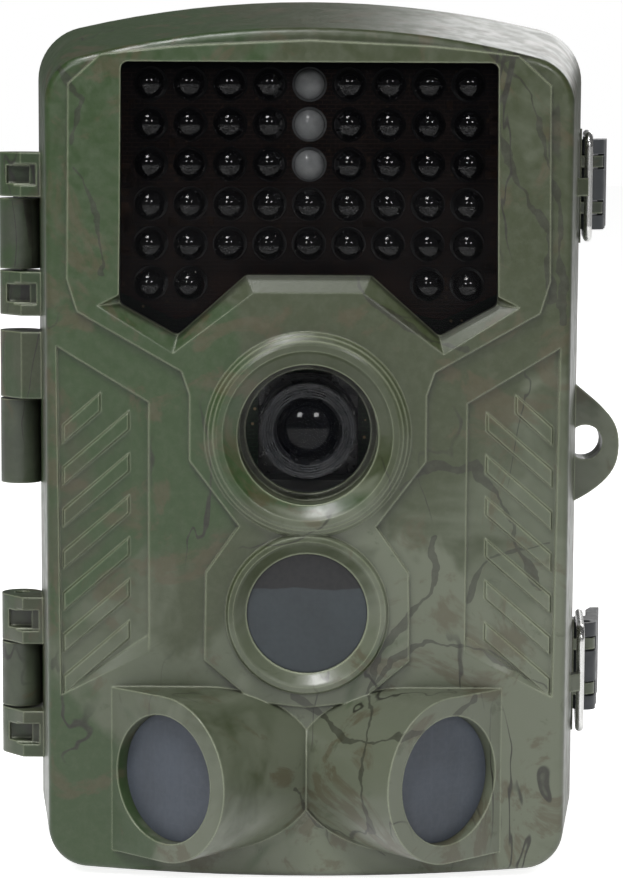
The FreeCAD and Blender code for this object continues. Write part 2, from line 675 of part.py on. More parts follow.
def make_tree_bracket():
    z0, z1 = BRACKET_Z0, BRACKET_Z0 + BRACKET_H
    half = BRACKET_W / 2
    plate = prism_y([(-half, z0 + 5), (-half + 5, z0), (half - 5, z0), (half, z0 + 5), (half, z1 - 5),
                     (half - 5, z1), (-half + 5, z1), (-half, z1 - 5)], BACK_Y, BACK_Y + BRACKET_T)
    rails = []
    teeth_n = int((BRACKET_H - 10) / 4.0)
    for sign in (-1, 1):
        x = sign * BRACKET_X
        profile = [
            V(x - RAIL_T / 2, BACK_Y + 0.5, z0 + 3),
            V(x - RAIL_T / 2, BACK_Y + RAIL_H - TOOTH, z0 + 5),
        ]
        z = z0 + 5
        for _ in range(teeth_n):
            profile.append(V(x - RAIL_T / 2, BACK_Y + RAIL_H, z + 2.0))
            profile.append(V(x - RAIL_T / 2, BACK_Y + RAIL_H - TOOTH, z + 4.0))
            z += 4.0
        profile.append(V(x - RAIL_T / 2, BACK_Y + 0.5, z1 - 3))
        rail = Part.Face(Part.makePolygon(profile + [profile[0]])).extrude(V(RAIL_T, 0, 0))
        rails.append(rail)
    bracket = plate.fuse(rails)
    mid = (z0 + z1) / 2
    slot = box(-BRACKET_X - RAIL_T, BRACKET_X + RAIL_T, BACK_Y + 0.8, BACK_Y + 0.8 + SLOT_W,
               mid - SLOT_H / 2, mid + SLOT_H / 2)
    centre_web = box(-BRACKET_X + RAIL_T / 2, BRACKET_X - RAIL_T / 2, BACK_Y, BACK_Y + 0.8, z0 + 2, z1 - 2)
    bracket = bracket.cut([slot]).fuse([centre_web])
    holes = []
    for x, z in bracket_screw_places():
        holes.append(rod_y(SCREW_R + 0.15, x, z, BACK_Y - 1, BACK_Y + BRACKET_T + 1))
    return bracket.cut(holes)


def screw(x, z, y_seat, length, sign):
    """A screw along Y: head against y_seat, shank of the given length towards sign."""
    head = rod_y(SCREW_HEAD_R, x, z, y_seat, y_seat - sign * SCREW_HEAD_H)
    shank = rod_y(SCREW_R, x, z, y_seat, y_seat + sign * length)
    mid_y = y_seat - sign * SCREW_HEAD_H
    slots = [box(x - a, x + a, min(mid_y, mid_y + sign * 0.8), max(mid_y, mid_y + sign * 0.8), z - b, z + b)
             for a, b in ((1.5, 0.3), (0.3, 1.5))]
    return head.fuse(shank).cut(slots)


# ---------------------------------------------------------------- latches
def make_lever(name):
    _, pin, pivot = latch_points(name)
    z = LATCH_Z[name]
    px, py = pin
    half = LEVER_H / 2
    barrel_r = 2.1
    hub = rod_z(barrel_r, px, py, z - half, z + half)
    inner = [(px + 0.9, py - 1.2), (px + 0.8, py + 6.0), (px + 1.2, py + LEVER_LEN - 3.0),
             (px + 2.3, py + LEVER_LEN)]
    outer = [(px + 3.9, py + LEVER_LEN), (px + 3.3, py + LEVER_LEN - 3.4), (px + 2.8, py + 5.0),
             (px + 1.9, py - 0.6)]
    plate = prism_z(inner + outer, z - half, z + half)
    arm = prism_z([(px - 1.5, py + 0.5), (pivot[0] - 1.3, pivot[1]), (pivot[0] - 0.6, pivot[1] + 1.3),
                   (px + 1.2, pivot[1] + 2.2), (px + 1.6, py)], z - half, z + half)
    lever = hub.fuse([plate, arm]).removeSplitter()
    # room for the two ears on the rear half, and for the wire pivots
    cuts = []
    for low in (z - 5.0, z + 3.0):
        cuts.append(rod_z(2.35, px, py, low - 0.3, low + 2.3))
        cuts.append(box(px - 8, px - 0.2, py - 4.2, py + 4.2, low - 0.3, low + 2.3))
    cuts.append(rod_z(LATCH_PIN_R + HINGE_RUN, px, py, z - half - 1, z + half + 1))
    cuts.append(rod_z(LATCH_ROD_R + HINGE_RUN, pivot[0], pivot[1], z - half - 1, z + half + 1))
    return lever.cut(cuts)


def make_bail(name):
    """The bent wire: a stub in the lever, an arm forward, the rod, the other arm and stub."""
    rod_at, _, pivot = latch_points(name)
    z = LATCH_Z[name]
    r = 2.0
    stub = LEVER_H / 2 - 2.2
    points = [V(pivot[0], pivot[1], z + stub), V(pivot[0], pivot[1], z + LATCH_HALF),
              V(rod_at[0], rod_at[1], z + LATCH_HALF), V(rod_at[0], rod_at[1], z - LATCH_HALF),
              V(pivot[0], pivot[1], z - LATCH_HALF), V(pivot[0], pivot[1], z - stub)]
    bend = [0.0, 1.0, r, r, 1.0, 0.0]
    edges, last = [], points[0]
    for i in range(1, len(points) - 1):
        before = (points[i - 1] - points[i]).normalize()
        after = (points[i + 1] - points[i]).normalize()
        start, end = points[i] + before * bend[i], points[i] + after * bend[i]
        middle = points[i] + (before + after) * (bend[i] * (1 - 1 / math.sqrt(2)))
        edges.append(Part.LineSegment(last, start).toShape())
        edges.append(Part.Arc(start, middle, end).toShape())
        last = end
    edges.append(Part.LineSegment(last, points[-1]).toShape())
    path = Part.Wire(edges)
    section = Part.Wire([Part.Circle(points[0], V(0, 0, 1), LATCH_ROD_R).toShape()])
    return path.makePipeShell([section], True, True)


# ---------------------------------------------------------------- optics and sensors
def led_columns():
    return [(i - (LED_COLS - 1) / 2) * LED_PITCH_X for i in range(LED_COLS)]


def led_places():
    """Every LED as (x, z, clear)."""
    rows = []
    columns = led_columns()
    for row in range(6):
        z = LED_TOP_Z - row * LED_PITCH_Z
        for i, x in enumerate(columns):
            if row == 5 and 1 < i < LED_COLS - 2:
                continue
            rows.append((x, z, row < 3 and i == LED_COLS // 2))
    return rows


def led_tip_y():
    return PLATEAU_Y + LED_WINDOW_SUNK + LED_WINDOW_T + LED_GAP


def one_led(x, z):
    tip = led_tip_y()
    dome_base = tip + LED_R
    body = rod_y(LED_R, x, z, dome_base, tip + LED_LEN)
    dome = Part.makeSphere(LED_R, V(x, dome_base, z))
    flange = rod_y(LED_FLANGE_R, x, z, tip + LED_LEN - 1.0, tip + LED_LEN)
    return body.fuse([dome, flange]).removeSplitter()


def make_leds(clear):
    return Part.makeCompound([one_led(x, z) for x, z, c in led_places() if c == clear])


def make_led_window():
    y0 = PLATEAU_Y + LED_WINDOW_SUNK
    return prism_y(led_window_points(), y0, y0 + LED_WINDOW_T, LED_WINDOW_CORNER)


def make_led_board():
    y0 = led_tip_y() + LED_LEN
    top = LED_TOP_Z + LED_FLANGE_R - 0.4
    points = both_sides([(0.0, top), (33.8, top), (33.8, 98.0), (22.0, 92.3), (13.0, 94.5), (0.0, 94.5)])
    return prism_y(points, y0, y0 + BOARD_T)


def make_lens_glass():
    y0 = FACE_Y + LENS_GLASS_SUNK
    return rod_y(LENS_HOLE_R, 0, LENS_Z, y0, y0 + LENS_GLASS_T)


def barrel_front_y():
    return FACE_Y + LENS_GLASS_SUNK + LENS_GLASS_T + 0.5


def holder_y():
    """Front of the lens holder's base plate."""
    return barrel_front_y() + BARREL_LEN + 1.0


def sensor_board_y():
    return holder_y() + HOLDER_BASE_T


def make_lens_barrel():
    y0 = barrel_front_y()
    return ring_y([
        (BARREL_R, y0), (BARREL_R, y0 + 2.2), (7.0, y0 + 2.2), (7.0, y0 + BARREL_LEN),
        (4.5, y0 + BARREL_LEN), (4.5, y0 + 5.0), (5.2, y0 + 5.0), (5.2, y0 + 1.9), (5.6, y0 + 1.5),
        (5.9, y0 + 0.5), (6.9, y0 + 0.4), (7.2, y0),
    ], 0, LENS_Z)


def make_front_element():
    y0 = barrel_front_y() + 1.9
    ball = Part.makeSphere(9.0, V(0, y0 + 8.0, LENS_Z))
    return rod_y(5.2, 0, LENS_Z, y0 - 1.0, y0 + 3.0).common(ball)


def make_rear_elements():
    y0 = barrel_front_y()
    return Part.makeCompound([rod_y(4.5, 0, LENS_Z, y0 + start, y0 + start + thick)
                              for start, thick in ((5.2, 1.6), (7.6, 1.8))])


def make_lens_holder():
    y0 = holder_y()
    half = LENS_MODULE_HALF
    body = ring_y([(7.0, y0 - 5.0), (8.3, y0 - 5.0), (8.3, y0), (7.0, y0)], 0, LENS_Z)
    base = box(-half, half, y0, y0 + HOLDER_BASE_T, LENS_Z - half, LENS_Z + half)
    low, high = LENS_Z - FILTER_HALF, LENS_Z + FILTER_HALF
    room = box(-FILTER_HALF, FILTER_HALF, y0 - 1, y0 + HOLDER_BASE_T + 1, low, high)
    return body.fuse(base).cut(room)


def make_ir_filter():
    y0 = holder_y() + 0.2
    half = FILTER_HALF
    return box(-half, half, y0, y0 + 0.5, LENS_Z - half, LENS_Z + half)


def make_sensor_board():
    y0, half = sensor_board_y(), LENS_MODULE_HALF
    return box(-half, half, y0, y0 + 0.8, LENS_Z - half, LENS_Z + half)


def make_image_sensor():
    y1 = sensor_board_y()
    return box(-4.2, 4.2, y1 - 1.1, y1, LENS_Z - 3.6, LENS_Z + 3.6)


def make_pir_window():
    r = PIR_WINDOW_R - 0.05
    y0 = PLATEAU_Y + 0.5
    disc = rod_y(r, 0, PIR_Z, y0, y0 + WINDOW_T)
    flange = rod_y(r + 1.4, 0, PIR_Z, FACE_Y + WALL + 0.05, FACE_Y + WALL + 1.0)
    neck = rod_y(r, 0, PIR_Z, y0, FACE_Y + WALL + 1.0)
    hollow = rod_y(r - 1.2, 0, PIR_Z, y0 + WINDOW_T, FACE_Y + WALL + 2.0)
    return disc.fuse([neck, flange]).cut(hollow)


def make_side_window(flip):
    centre, normal, _, _ = turret_frame()
    start = centre - normal * WINDOW_SUNK
    disc = rod(TURRET_OPEN_R - 0.05, start, start - normal * (WINDOW_T - 0.05))
    return mirror_x(disc) if flip else disc


def pir_axes():
    """Where each detector looks from, and which way it looks."""
    centre, normal, _, _ = turret_frame()
    right = (centre - normal * 13.0, normal)
    left = (V(-right[0].x, right[0].y, right[0].z), V(-normal.x, normal.y, 0))
    middle = (V(0, FACE_Y + 8.0, PIR_Z), V(0, -1, 0))
    return [middle, left, right]


def make_pir_cans():
    cans = []
    for at, look in pir_axes():
        can = rod(4.5, at, at + look * 3.6)
        rim = rod(4.9, at, at + look * 0.6)
        cans.append(can.fuse(rim))
    return Part.makeCompound(cans)


def make_pir_boards():
    boards = []
    for at, look in pir_axes():
        side = V(look.y, -look.x, 0)
        up = V(0, 0, 1)
        a = at - look * (BOARD_T + 0.02) + side * 7 + up * 7
        b, c, d = a - side * 14, a - side * 14 - up * 14, a - up * 14
        boards.append(Part.Face(Part.makePolygon([a, b, c, d, a])).extrude(look * BOARD_T))
    return Part.makeCompound(boards)


# ---------------------------------------------------------------- inside both halves
def key_places():
    """Each key's name and place on the inner cover."""
    return {
        "key_menu": (KEY_X - 2 * KEY_PITCH, KEY_Z + KEY_RISE / 2),
        "key_shot": (KEY_X - 2 * KEY_PITCH, KEY_Z - KEY_RISE / 2),
        "key_up": (KEY_X, KEY_Z + KEY_RISE),
        "key_down": (KEY_X, KEY_Z - KEY_RISE),
        "key_left": (KEY_X - KEY_PITCH, KEY_Z),
        "key_right": (KEY_X + KEY_PITCH, KEY_Z),
        "key_ok": (KEY_X, KEY_Z),
    }


def cell_x(i):
    return (i - (CELL_N - 1) / 2) * (2 * CELL_R + CELL_GAP)


def cell_y(half):
    """Middle of the cells of one half: just inside its inner cover."""
    sign = -1 if half == "front" else 1
    return PART_Y + sign * (COVER_CLEAR + CELL_R + CELL_SUNK)


def bay_box(half, y0, y1, grow=0.0):
    wide = CELL_N * (CELL_R + CELL_GAP / 2) + grow
    z0 = CELL_Z0[half] - BAY_FOOT - grow
    z1 = CELL_Z0[half] + CELL_LEN + BAY_HEAD + grow
    return box(-wide, wide, y0, y1, z0, z1)


def bay_top(half):
    return CELL_Z0[half] + CELL_LEN + BAY_HEAD + BAY_WALL


def bay_floor(half):
    """Bottom of the battery bay, against the far side of the cells."""
    sign = -1 if half == "front" else 1
    return cell_y(half) + sign * (CELL_R + CELL_GAP / 2)


def cover_screw_places():
    return [(x, z) for x in (-COVER_SCREW_X, COVER_SCREW_X) for z in COVER_SCREW_Z]


def tray_screw_places():
    return [(x, z) for x in (-COVER_SCREW_X, COVER_SCREW_X) for z in TRAY_SCREW_Z]


def standoff_places():
    return [(x, z) for x in (-STANDOFF_X, STANDOFF_X) for z in STANDOFF_Z]


def make_front_cover():
    y0, y1 = FRONT_COVER_Y, FRONT_COVER_Y + COVER_T
    floor = bay_floor("front")
    cover = loft(front_section(y0, WALL + FIT), front_section(y1, WALL + FIT))
    cover = cover.fuse([bay_box("front", floor - BAY_WALL, y1, BAY_WALL)])
    cover = cover.fuse([rod_y(PAD_R, x, z, y0 - PAD_T, y0) for x, z in cover_screw_places()])
    cover = cover.fuse([rod_y(2.0, x, z, main_board_y() + BOARD_T, y0) for x, z in standoff_places()])
    edge = LCD_EDGE
    cuts = [
        bay_box("front", floor, y1 + 1),
        box(-LCD_W / 2 + edge, LCD_W / 2 - edge, y0 - 1, y1 + 1,
            LCD_Z - LCD_H / 2 + edge, LCD_Z + LCD_H / 2 - edge),
        box(SWITCH_X - 2.2, SWITCH_X + 2.2, y0 - 1, y1 + 1, SWITCH_Z - 1.8 - SWITCH_TRAVEL / 2,
            SWITCH_Z + 1.8 + SWITCH_TRAVEL / 2),
        box(CARD_X - 1.1, CARD_X + 1.1, y0 - 1, y1 + 1,
            CARD_Z - CARD_W / 2 - 0.4, CARD_Z + CARD_W / 2 + 0.4),
    ]
    cuts += [rod_y(KEY_R + FIT, x, z, y0 - 1, y1 + 1) for x, z in key_places().values()]
    for x, z in cover_screw_places():
        cuts.append(rod_y(SCREW_R + 0.15, x, z, y0 - PAD_T - 1, y1 + 1))
        cuts.append(rod_y(SCREW_HEAD_R + 0.15, x, z, y0 + 0.2, y1 + 1))
    return above_base(cover.cut(cuts))


def make_rear_tray():
    y0, y1 = REAR_TRAY_Y, REAR_TRAY_Y + COVER_T
    floor = bay_floor("rear")
    tray = loft(rear_section(y0, WALL + FIT), rear_section(y1, WALL + FIT))
    tray = tray.common(box(-BODY_W, BODY_W, y0 - 1, y1 + 1, 0, bay_top("rear") + 7.0))
    tray = tray.fuse([bay_box("rear", y0, floor + BAY_WALL, BAY_WALL)])
    tray = tray.fuse([rod_y(PAD_R, x, z, y1, y1 + PAD_T) for x, z in tray_screw_places()])
    cuts = [bay_box("rear", y0 - 1, floor)]
    for x, z in tray_screw_places():
        cuts.append(rod_y(SCREW_R + 0.15, x, z, y0 - 1, y1 + PAD_T + 1))
        cuts.append(rod_y(SCREW_HEAD_R + 0.15, x, z, y0 - 1, y1 - 0.2))
    return tray.cut(cuts)


def make_lcd():
    y1 = FRONT_COVER_Y
    return box(-LCD_W / 2, LCD_W / 2, y1 - LCD_T, y1, LCD_Z - LCD_H / 2, LCD_Z + LCD_H / 2)


def make_lcd_window():
    y1 = FRONT_COVER_Y + COVER_T - 0.3
    x, z = LCD_W / 2 - LCD_EDGE, LCD_H / 2 - LCD_EDGE
    return box(-x, x, y1 - 1.0, y1, LCD_Z - z, LCD_Z + z)


def main_board_y():
    return FRONT_COVER_Y - BOARD_ROOM - BOARD_T


def make_main_board():
    y0 = main_board_y()
    z0, z1 = bay_top("front") + 0.6, LCD_Z + LCD_H / 2 + 1.5
    board = box(-32.5, 32.5, y0, y0 + BOARD_T, z0, z1)
    slot = box(CARD_X - 2.3, CARD_X + 2.3, y0 - 1, y0 + BOARD_T + 1, CARD_Z - CARD_W / 2 - 1.3,
               CARD_Z + CARD_W / 2 + 1.3)
    return board.cut(slot)


def make_chips():
    y0 = main_board_y()
    chips = [box(x, x + w, y0 - h, y0, z, z + d) for x, z, w, d, h in (
        (-26, 112, 14, 14, 1.2), (-6, 114, 10, 12, 1.0), (10, 112, 12, 8, 1.4), (18, 94, 8, 6, 2.2),
        (-24, 92, 8, 8, 1.8), (-6, 98, 10, 6, 1.0))]
    return Part.makeCompound(chips)


def make_key(name):
    x, z = key_places()[name]
    y0 = FRONT_COVER_Y - 0.1
    cap = rod_y(KEY_R, x, z, y0, FRONT_COVER_Y + COVER_T + 0.25)
    cap = cap.makeFillet(0.3, [e for e in cap.Edges if e.Closed and e.CenterOfMass.y > FRONT_COVER_Y])
    return cap.fuse(rod_y(KEY_R + KEY_FOOT, x, z, y0 - 0.8, y0))


def make_key_domes():
    """Switch domes on the main board, one under each key."""
    y0 = main_board_y() + BOARD_T
    top = FRONT_COVER_Y - 0.9 - KEY_TRAVEL - 0.1
    return Part.makeCompound([rod_y(2.0, x, z, y0, top) for x, z in key_places().values()])


def make_mode_switch():
    y0 = main_board_y() + BOARD_T
    return box(SWITCH_X - 3.2, SWITCH_X + 3.2, y0, y0 + 1.6, SWITCH_Z - 6.0, SWITCH_Z + 6.0)


def make_mode_knob():
    y0 = main_board_y() + BOARD_T + 1.8
    stem = box(SWITCH_X - 1.2, SWITCH_X + 1.2, y0, FRONT_COVER_Y + 0.2, SWITCH_Z - 1.2, SWITCH_Z + 1.2)
    cap = box(SWITCH_X - 1.9, SWITCH_X + 1.9, FRONT_COVER_Y + 0.1, FRONT_COVER_Y + COVER_T + 0.3,
              SWITCH_Z - 1.5, SWITCH_Z + 1.5)
    return stem.fuse(cap)


def make_card_socket():
    """Edge-on socket that passes through the main board."""
    y1 = FRONT_COVER_Y - 0.2
    y0 = card_front_y() - 1.2
    z0, z1 = CARD_Z - CARD_W / 2, CARD_Z + CARD_W / 2
    shell = box(CARD_X - 1.9, CARD_X + 1.9, y0, y1, z0 - 1.0, z1 + 1.0)
    gap = 0.1
    return shell.cut(box(CARD_X - CARD_T / 2 - gap, CARD_X + CARD_T / 2 + gap, card_front_y() - gap, y1 + 1,
                         z0 - gap, z1 + gap))


def card_front_y():
    """Inner end of the memory card when it is pushed home."""
    return FRONT_COVER_Y + COVER_T - CARD_LEN


def make_card():
    y0 = card_front_y()
    low, high = CARD_Z - CARD_W / 2, CARD_Z + CARD_W / 2
    return box(CARD_X - CARD_T / 2, CARD_X + CARD_T / 2, y0, y0 + CARD_LEN, low, high)


def make_springs(half):
    """Conical contact springs at the lower end of the cells."""
    z0 = CELL_Z0[half] - BAY_FOOT + PLATE_T
    height = BAY_FOOT - PLATE_T
    return Part.makeCompound([Part.makeCone(4.2, 2.6, height, V(cell_x(i), cell_y(half), z0), V(0, 0, 1))
                              for i in range(CELL_N)])


def make_plates(half):
    """Contact plates on both end walls of the bay."""
    y = cell_y(half)
    low = CELL_Z0[half] - BAY_FOOT
    high = CELL_Z0[half] + CELL_LEN + BAY_HEAD - PLATE_T
    return Part.makeCompound([box(x - 5.2, x + 5.2, y - 5.4, y + 5.4, z, z + PLATE_T)
                              for x in map(cell_x, range(CELL_N)) for z in (low, high)])


def make_cells(half):
    y = cell_y(half)
    z0 = CELL_Z0[half]
    cells = []
    for i in range(CELL_N):
        x = cell_x(i)
        body = rod_z(CELL_R, x, y, z0, z0 + CELL_LEN)
        body = body.makeFillet(0.6, [e for e in body.Edges if e.Closed])
        cells.append(body.fuse(rod_z(2.7, x, y, z0 + CELL_LEN - 0.1, z0 + CELL_LEN + BAY_HEAD - PLATE_T)))
    return Part.makeCompound(cells)


def make_ports():
    """USB, video and power sockets in a row above the base of the front half."""
    y = PORT_Y
    return Part.makeCompound([box(x, x + w, y - 1.6, y + 1.6, PORT_Z, PORT_Z + 3.2)
                              for x, w in ((-12.0, 7.6), (-2.6, 5.4), (5.0, 7.4))])


def port_cuts():
    """Recess for the port cover and an opening under each socket."""
    cuts = [box(-PORT_COVER_W / 2 - FIT, PORT_COVER_W / 2 + FIT, PORT_Y - PORT_COVER_D / 2 - FIT,
                PORT_Y + PORT_COVER_D / 2 + 0.05, -1, PORT_COVER_UP + PORT_COVER_T + 0.1)]
    for x, w in ((-12.0, 7.6), (-2.6, 5.4), (5.0, 7.4)):
        cuts.append(box(x + 0.8, x + w - 0.8, PORT_Y - 1.1, PORT_Y + 1.1, 0, PORT_Z + 1))
    return cuts


def make_port_cover():
    return box(-PORT_COVER_W / 2, PORT_COVER_W / 2, PORT_Y - PORT_COVER_D / 2, PORT_Y + PORT_COVER_D / 2,
               PORT_COVER_UP, PORT_COVER_UP + PORT_COVER_T)


# ---------------------------------------------------------------- build
def build():
    nodes["front_case"] = make_front_case()
    nodes["rear_case"] = make_rear_case()
    nodes["case_seal"] = make_seal()
    nodes["tree_bracket"] = make_tree_bracket()
    nodes["bracket_screws"] = Part.makeCompound(
        [screw(x, z, BACK_Y + BRACKET_T, BRACKET_SCREW_LEN, -1) for x, z in bracket_screw_places()])
    nodes["tripod_insert"] = rod_z(SOCKET_OUTER_R, 0, 0, 0, SOCKET_DEPTH).cut(
        rod_z(SOCKET_R, 0, 0, -1, SOCKET_DEPTH - 1.0))
    for name, group in HINGE_GROUPS.items():
        low, high = min(k[0] for k in group), max(k[1] for k in group)
        nodes["hinge_pin_" + name] = rod_z(HINGE_PIN_R, HINGE_X, HINGE_Y, low + 0.6, high - 0.6)
    for name, z in LATCH_Z.items():
        _, pin, _ = latch_points(name)
        low, high = z - LEVER_H / 2 + 0.5, z + LEVER_H / 2 - 0.5
        nodes["latch_pin_" + name] = rod_z(LATCH_PIN_R, pin[0], pin[1], low, high)
        nodes["latch_lever_" + name] = make_lever(name)
        nodes["latch_bail_" + name] = make_bail(name)
    nodes["led_window"] = make_led_window()
    nodes["ir_leds"] = make_leds(False)
    nodes["flash_leds"] = make_leds(True)
    nodes["led_board"] = make_led_board()
    nodes["lens_cover_glass"] = make_lens_glass()
    nodes["lens_barrel"] = make_lens_barrel()
    nodes["lens_front_element"] = make_front_element()
    nodes["lens_rear_elements"] = make_rear_elements()
    nodes["lens_holder"] = make_lens_holder()
    nodes["ir_cut_filter"] = make_ir_filter()
    nodes["image_sensor"] = make_image_sensor()
    nodes["sensor_board"] = make_sensor_board()
    nodes["pir_window_centre"] = make_pir_window()
    nodes["pir_window_left"] = make_side_window(True)
    nodes["pir_window_right"] = make_side_window(False)
    nodes["pir_detectors"] = make_pir_cans()
    nodes["pir_boards"] = make_pir_boards()
    nodes["front_inner_cover"] = make_front_cover()
    nodes["cover_screws"] = Part.makeCompound(
        [screw(x, z, FRONT_COVER_Y + 0.2, SCREW_LEN, -1) for x, z in cover_screw_places()])
    nodes["tray_screws"] = Part.makeCompound(
        [screw(x, z, REAR_TRAY_Y + COVER_T - 0.2, SCREW_LEN, 1) for x, z in tray_screw_places()])
    nodes["lcd_panel"] = make_lcd()
    nodes["lcd_window"] = make_lcd_window()
    nodes["main_board"] = make_main_board()
    nodes["board_chips"] = make_chips()
    for name in key_places():
        nodes[name] = make_key(name)
    nodes["key_domes"] = make_key_domes()
    nodes["mode_switch"] = make_mode_switch()
    nodes["mode_switch_knob"] = make_mode_knob()
    nodes["card_socket"] = make_card_socket()
    nodes["memory_card"] = make_card()
    nodes["rear_battery_tray"] = make_rear_tray()
    for half in ("front", "rear"):
        nodes[half + "_battery_springs"] = make_springs(half)
        nodes[half + "_battery_plates"] = make_plates(half)
        nodes[half + "_battery_cells"] = make_cells(half)
    nodes["port_sockets"] = make_ports()
    nodes["port_cover"] = make_port_cover()


build()
os.makedirs("parts", exist_ok=True)
for name, shape in nodes.items():
    shape.exportStep(os.path.join("parts", name + ".step"))
print(len(nodes), "nodes")
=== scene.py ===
"""Finishes, lamp and lens detail, lights and camera for a camouflaged trail camera."""

import logging
import math
import random
from dataclasses import dataclass, field
from enum import Enum
from typing import Iterable, Optional, Sequence, Union

import bmesh
import bpy
from mathutils import Matrix, Vector


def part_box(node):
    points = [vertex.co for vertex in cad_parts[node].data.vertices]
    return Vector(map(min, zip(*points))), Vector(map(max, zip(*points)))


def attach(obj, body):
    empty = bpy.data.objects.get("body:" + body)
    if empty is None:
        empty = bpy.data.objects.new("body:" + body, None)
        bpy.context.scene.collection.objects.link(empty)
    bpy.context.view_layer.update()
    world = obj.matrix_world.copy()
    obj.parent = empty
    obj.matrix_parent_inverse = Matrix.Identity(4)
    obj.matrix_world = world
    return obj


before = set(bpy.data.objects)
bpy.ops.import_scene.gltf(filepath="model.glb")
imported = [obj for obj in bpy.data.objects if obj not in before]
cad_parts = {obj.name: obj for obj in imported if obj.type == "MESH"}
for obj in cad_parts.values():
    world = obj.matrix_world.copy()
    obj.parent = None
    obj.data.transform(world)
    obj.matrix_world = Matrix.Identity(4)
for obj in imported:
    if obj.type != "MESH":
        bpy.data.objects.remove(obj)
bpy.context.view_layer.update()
MM = 0.001
LOG = logging.getLogger("trail_camera")

Colour = tuple[float, float, float]
Value = Union[float, bpy.types.NodeSocket]
Line = tuple[tuple[float, float], ...]


class Half(Enum):
    """The two halves of the case."""

    FRONT = "front_half"
    REAR = "rear_half"


class Grain(Enum):
    """How a moulded surface is textured, as bump height in millimetres and cell density per millimetre."""

    SATIN = (0.010, 2.6)
    LEATHERY = (0.030, 1.3)
    SPARK = (0.045, 2.0)


class EdgeWearAndHighlight(Enum):
    """How strongly a piece's edges are lightened, part handling wear and part painted highlight."""

    NONE = 0.0
    LIGHT = 0.35
    WORN = 0.8


def linear(red: int, green: int, blue: int) -> Colour:
    """Turns a screen colour of 0 to 255 into linear values."""
    parts = []
    for level in (red, green, blue):
        share = level / 255.0
        parts.append(share / 12.92 if share <= 0.04045 else ((share + 0.055) / 1.055) ** 2.4)
    return parts[0], parts[1], parts[2]


def shaded(colour: Colour, by: float) -> Colour:
    """Makes a colour lighter or darker by a factor."""
    return tuple(min(1.0, part * by) for part in colour)


